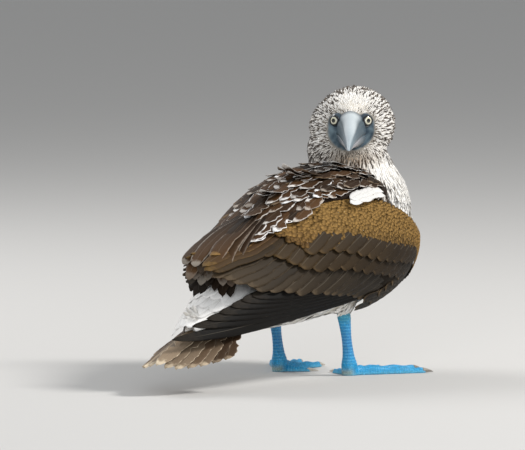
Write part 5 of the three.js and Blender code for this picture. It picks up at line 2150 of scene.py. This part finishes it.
@dataclass
class Leg:
    """A bare shank and webbed foot with its claws."""

    kit: MeshKit
    finishes: Finishes
    side: int
    spread: float = 82.0
    web_thickness: float = 1.8
    claw_length: float = 9.0

    half_length = profile((0, 9.5), (10, 9), (20, 6.8), (36, 5.6), (52, 6.8), (60, 7.6), (67, 6))
    half_width = profile((0, 7.5), (10, 7.4), (20, 5.4), (36, 4.6), (52, 5.6), (60, 6.2), (67, 5))

    @property
    def name(self) -> str:
        """Names the side."""
        return "right" if self.side == RIGHT else "left"

    def foot_point(self, heading: float, reach: Array, sideways: Array, height: Array) -> Array:
        """Gives a point of the foot from its toe's heading.

        Args:
            heading: The toe's heading in degrees.
            reach: Distance along it.
            sideways: Distance across it.
            height: Height over the floor.

        Returns:
            The points.
        """
        turn = math.radians(-self.side * heading)
        x = reach * math.cos(turn) - sideways * math.sin(turn)
        y = -self.side * self.spread / 2 + reach * math.sin(turn) + sideways * math.cos(turn)
        return np.stack(np.broadcast_arrays(x, y, height), -1)

    def toe(self, toe: Toe) -> Body:
        """Builds a toe with ring scutes over its top and a flat sole.

        Args:
            toe: The toe.

        Returns:
            Points and triangles.
        """
        share = np.linspace(0, 1, 90)[:, None]
        joint = 1 + 0.09 * np.cos(share * math.pi * 6)
        end = np.sqrt(np.clip(1 - smoothstep(0.93, 1.04, share) * 0.75, 0.05, 1))
        scute = 1 + 0.035 * np.abs(np.sin(share * math.pi * toe.length / 2.6))
        half = toe.width / 2 * (1 - 0.38 * share) * joint * end
        tall = toe.width * (1.05 - 0.45 * share) * joint * end * 0.92
        turn = np.linspace(0, math.pi, 16)[None]
        rings = self.foot_point(
            toe.heading, toe.length * share + 0 * turn, half * np.cos(turn), tall * scute * np.sin(turn)
        )
        return tube(rings)

    def web(self, first: Toe, second: Toe, dip: float) -> Body:
        """Builds the membrane between two toes.

        Args:
            first: The toe on one side.
            second: The toe on the other side.
            dip: Reach of the hollow front edge at its middle, as a share of the shorter toe.

        Returns:
            Points and triangles.
        """
        share = np.linspace(0, 1, 26)[None]
        reach = np.linspace(0.02, 1, 36)[:, None]
        shorter = min(first.length, second.length)
        ends = (first.length - 4) * (1 - share) + (second.length - 4) * share
        hollow = 4 * share * (1 - share)
        front = ends * (1 - hollow) + shorter * dip * hollow
        heading = first.heading * (1 - share) + second.heading * share
        turn = np.radians(-self.side * heading)
        x = front * reach * np.cos(turn)
        y = -self.side * self.spread / 2 + front * reach * np.sin(turn)
        folds = 0.35 * np.sin(share * math.pi * 9) * hollow * smoothstep(0.1, 0.5, reach)
        top = self.web_thickness * (1 - 0.45 * hollow * reach) + folds * 0.5
        faces = [np.stack([x, y, top + 0 * x], -1), np.stack([x, y, 0.05 + 0 * x], -1)]
        return tube(np.concatenate([faces[0], faces[1][:, ::-1]], 1))

    def tint(self, points: Array) -> Array:
        """Colours the bare skin: turquoise toes, lighter web, violet-blue middle of the shank.

        Args:
            points: Places in anchor millimetres.

        Returns:
            A colour for each place.
        """
        x, y, z = points.T
        reach = np.hypot(x, y + self.side * self.spread / 2)
        foot = mix(FOOT_BLUE, FOOT_LIGHT, smoothstep(3.4, 1.0, z) * 0.6)
        foot = mix(foot, FOOT_LIGHT, 0.5 * np.abs(np.sin(reach * math.pi / 2.6)) ** 6)
        shank = mix(FOOT_BLUE, FOOT_VIOLET, np.exp(-((z - 34) ** 2) / 300) * 0.5)
        shank = mix(shank, FOOT_LIGHT, 0.55 * np.abs(np.cos(z * math.pi / 3.1)) ** 6)
        shank = mix(shank, SHANK_GREEN, smoothstep(50, 62, z) * 0.5)
        heel = np.exp(-((z - 3) ** 2) / 12 - (x + 9) ** 2 / 30)
        return mix(mix(foot, shank, smoothstep(6, 16, z)), HEEL_YELLOW, 0.6 * heel)

    def shank(self) -> Body:
        """Builds the tarsus with scutes down its front, from the heel to the feathers.

        Returns:
            Points and triangles.
        """
        z = np.linspace(0, 70, 110)[:, None]
        turn = turns(36)[None]
        lean = -13 * np.power(z / 64, 1.2)
        front = smoothstep(0.2, 0.8, np.cos(turn))
        ring = 1 + 0.04 * np.abs(np.sin(z * math.pi / 3.1)) * (0.3 + front)
        tendon = (
            1
            - 0.1 * np.exp(
                -((np.abs(np.sin(turn)) - 0.95) ** 2) / 0.02
            ) * smoothstep(10, 24, z) * smoothstep(62, 48, z)
        )
        x = lean + self.half_length(z) * np.cos(turn) * ring
        y = -self.side * self.spread / 2 + self.half_width(z) * np.sin(turn) * ring * tendon
        return tube(np.stack([x, y, z + 0 * turn], -1))

    def claws(self) -> Body:
        """Builds the four curved claws.

        Returns:
            Points and triangles.
        """
        parts = []
        for toe in TOES:
            share = np.linspace(0, 1, 16)[:, None]
            turn = turns(16)[None]
            half = toe.width / 2 * 0.55 * (1 - 0.92 * share**1.4)
            centre = toe.width * 0.26 * (1 - 0.75 * share**1.6) + 0.35
            tall = np.minimum(half, centre - 0.05)
            reach = toe.length - 2.5 + (self.claw_length + 2.5) * share
            parts.append(
                tube(
                    self.foot_point(
                        toe.heading, reach + 0 * turn, half * np.cos(turn), centre + tall * np.sin(turn)
                    )
                )
            )
        return join(parts)

    def build(self) -> None:
        """Builds foot, shank and claws."""
        outer, middle, inner, hind = TOES
        webs = [self.web(outer, middle, 0.8), self.web(middle, inner, 0.8), self.web(inner, hind, 0.45)]
        foot = join([*(self.toe(toe) for toe in TOES), *webs])
        for name, node, body in (("webbed_foot", "foot", foot), ("shank", "leg", self.shank())):
            piece, stands_for = f"{name}_{self.name}", f"{node}_{self.name}"
            self.kit.add(piece, body, self.finishes.foot, Slot.FOOT, stands_for, tint=self.tint(body[0]))
        points, triangles = self.claws()
        reach = np.hypot(points[:, 0], points[:, 1] + self.side * self.spread / 2)
        tint = mix(CLAW_PALE, CLAW_DARK, smoothstep(60, 95, reach))
        nodes = (f"claw_{toe.name}_{self.name}" for toe in TOES)
        body = (points, triangles)
        self.kit.add(f"claws_{self.name}", body, self.finishes.claw, Slot.CLAW, *nodes, tint=tint)


@dataclass
class Studio:
    """The pale floor, soft light and camera."""

    kit: MeshKit
    azimuth_deg: float = -58.0
    elevation_deg: float = 4.0
    distance: float = 8.0
    lens_mm: float = 548.6
    image_centre_right: float = -52.5
    image_centre_up: float = 148.0

    def axes(self) -> tuple[Array, Array, Array]:
        """Gives the camera's right, forward and up directions.

        Returns:
            Three unit vectors.
        """
        az, el = math.radians(self.azimuth_deg), math.radians(self.elevation_deg)
        right = np.array([math.cos(az), math.sin(az), 0.0])
        forward = np.array([-math.sin(az) * math.cos(el), math.cos(az) * math.cos(el), -math.sin(el)])
        return right, forward, np.cross(right, forward)

    def camera(self) -> None:
        """Creates the camera at the photograph's angle."""
        right, forward, up = self.axes()
        at = self.image_centre_right * right + self.image_centre_up * up
        place = self.kit.to_row(at) - forward * self.distance
        data = bpy.data.cameras.new("camera")
        data.lens = self.lens_mm
        data.sensor_width = 36
        data.clip_end = 120
        made = bpy.data.objects.new("camera", data)
        made.location = Vector(place)
        made.rotation_euler = Vector(forward).to_track_quat("-Z", "Y").to_euler()
        bpy.context.scene.collection.objects.link(made)
        bpy.context.scene.camera = made

    def light(
        self, name: str, where: tuple[float, float, float], size: float, power: float, colour: tuple
    ) -> None:
        """Adds one soft area light aimed at the bird.

        Args:
            name: Its name.
            where: Its place in metres.
            size: Its width in metres.
            power: Its power in watts.
            colour: Its colour.
        """
        data = bpy.data.lights.new(name, "AREA")
        data.shape = "DISK"
        data.size = size
        data.energy = power
        data.color = colour
        made = bpy.data.objects.new(name, data)
        made.location = Vector(where)
        made.rotation_euler = (Vector((0, 0, 0.13)) - Vector(where)).to_track_quat("-Z", "Y").to_euler()
        bpy.context.scene.collection.objects.link(made)

    def build(self) -> None:
        """Builds floor, lights, world and camera."""
        shader = Shader("studio_floor", 0.9)
        shader.principled.inputs["Base Color"].default_value = (0.6, 0.59, 0.575, 1)
        x = np.linspace(-40000, 40000, 3)
        grid = np.stack(np.meshgrid(x, x, indexing="ij"), -1).reshape(-1, 2)
        points = np.concatenate([grid, np.full((len(grid), 1), -0.2)], 1)
        triangles = grid_triangles(3, 3)
        floor = self.kit.build("floor", points, triangles, shader.material)
        self.light("key", (1.2, -2.2, 2.6), 1.0, 105, (1.0, 0.98, 0.95))
        self.light("fill", (-2.4, -1.6, 1.0), 2.0, 30, (0.94, 0.97, 1.0))
        self.light("back", (0.4, 2.2, 1.8), 1.6, 30, (1.0, 1.0, 1.0))
        world = bpy.data.worlds.new("studio")
        world.use_nodes = True
        world.node_tree.nodes["Background"].inputs["Color"].default_value = (0.86, 0.88, 0.9, 1)
        world.node_tree.nodes["Background"].inputs["Strength"].default_value = 0.45
        bpy.context.scene.world = world
        bpy.context.scene.view_settings.view_transform = "Standard"
        self.camera()


def main() -> None:
    """Builds the bird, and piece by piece."""
    kit, form = MeshKit(), BodyForm()
    marks = Markings(form)
    finishes = Finishes.make()
    skin = Skin(kit, form, marks, finishes)
    Coat(kit, form, marks, skin, finishes).build()
    for side in (RIGHT, LEFT):
        Wing(kit, finishes, side).build()
        Leg(kit, finishes, side).build()
    Mantle(kit, finishes).build()
    Tail(kit, finishes).build()
    Bill(kit, form, finishes).build()
    Eyes(kit, form, finishes).build()
    Studio(kit).build()


if __name__ == "__main__":
    main()
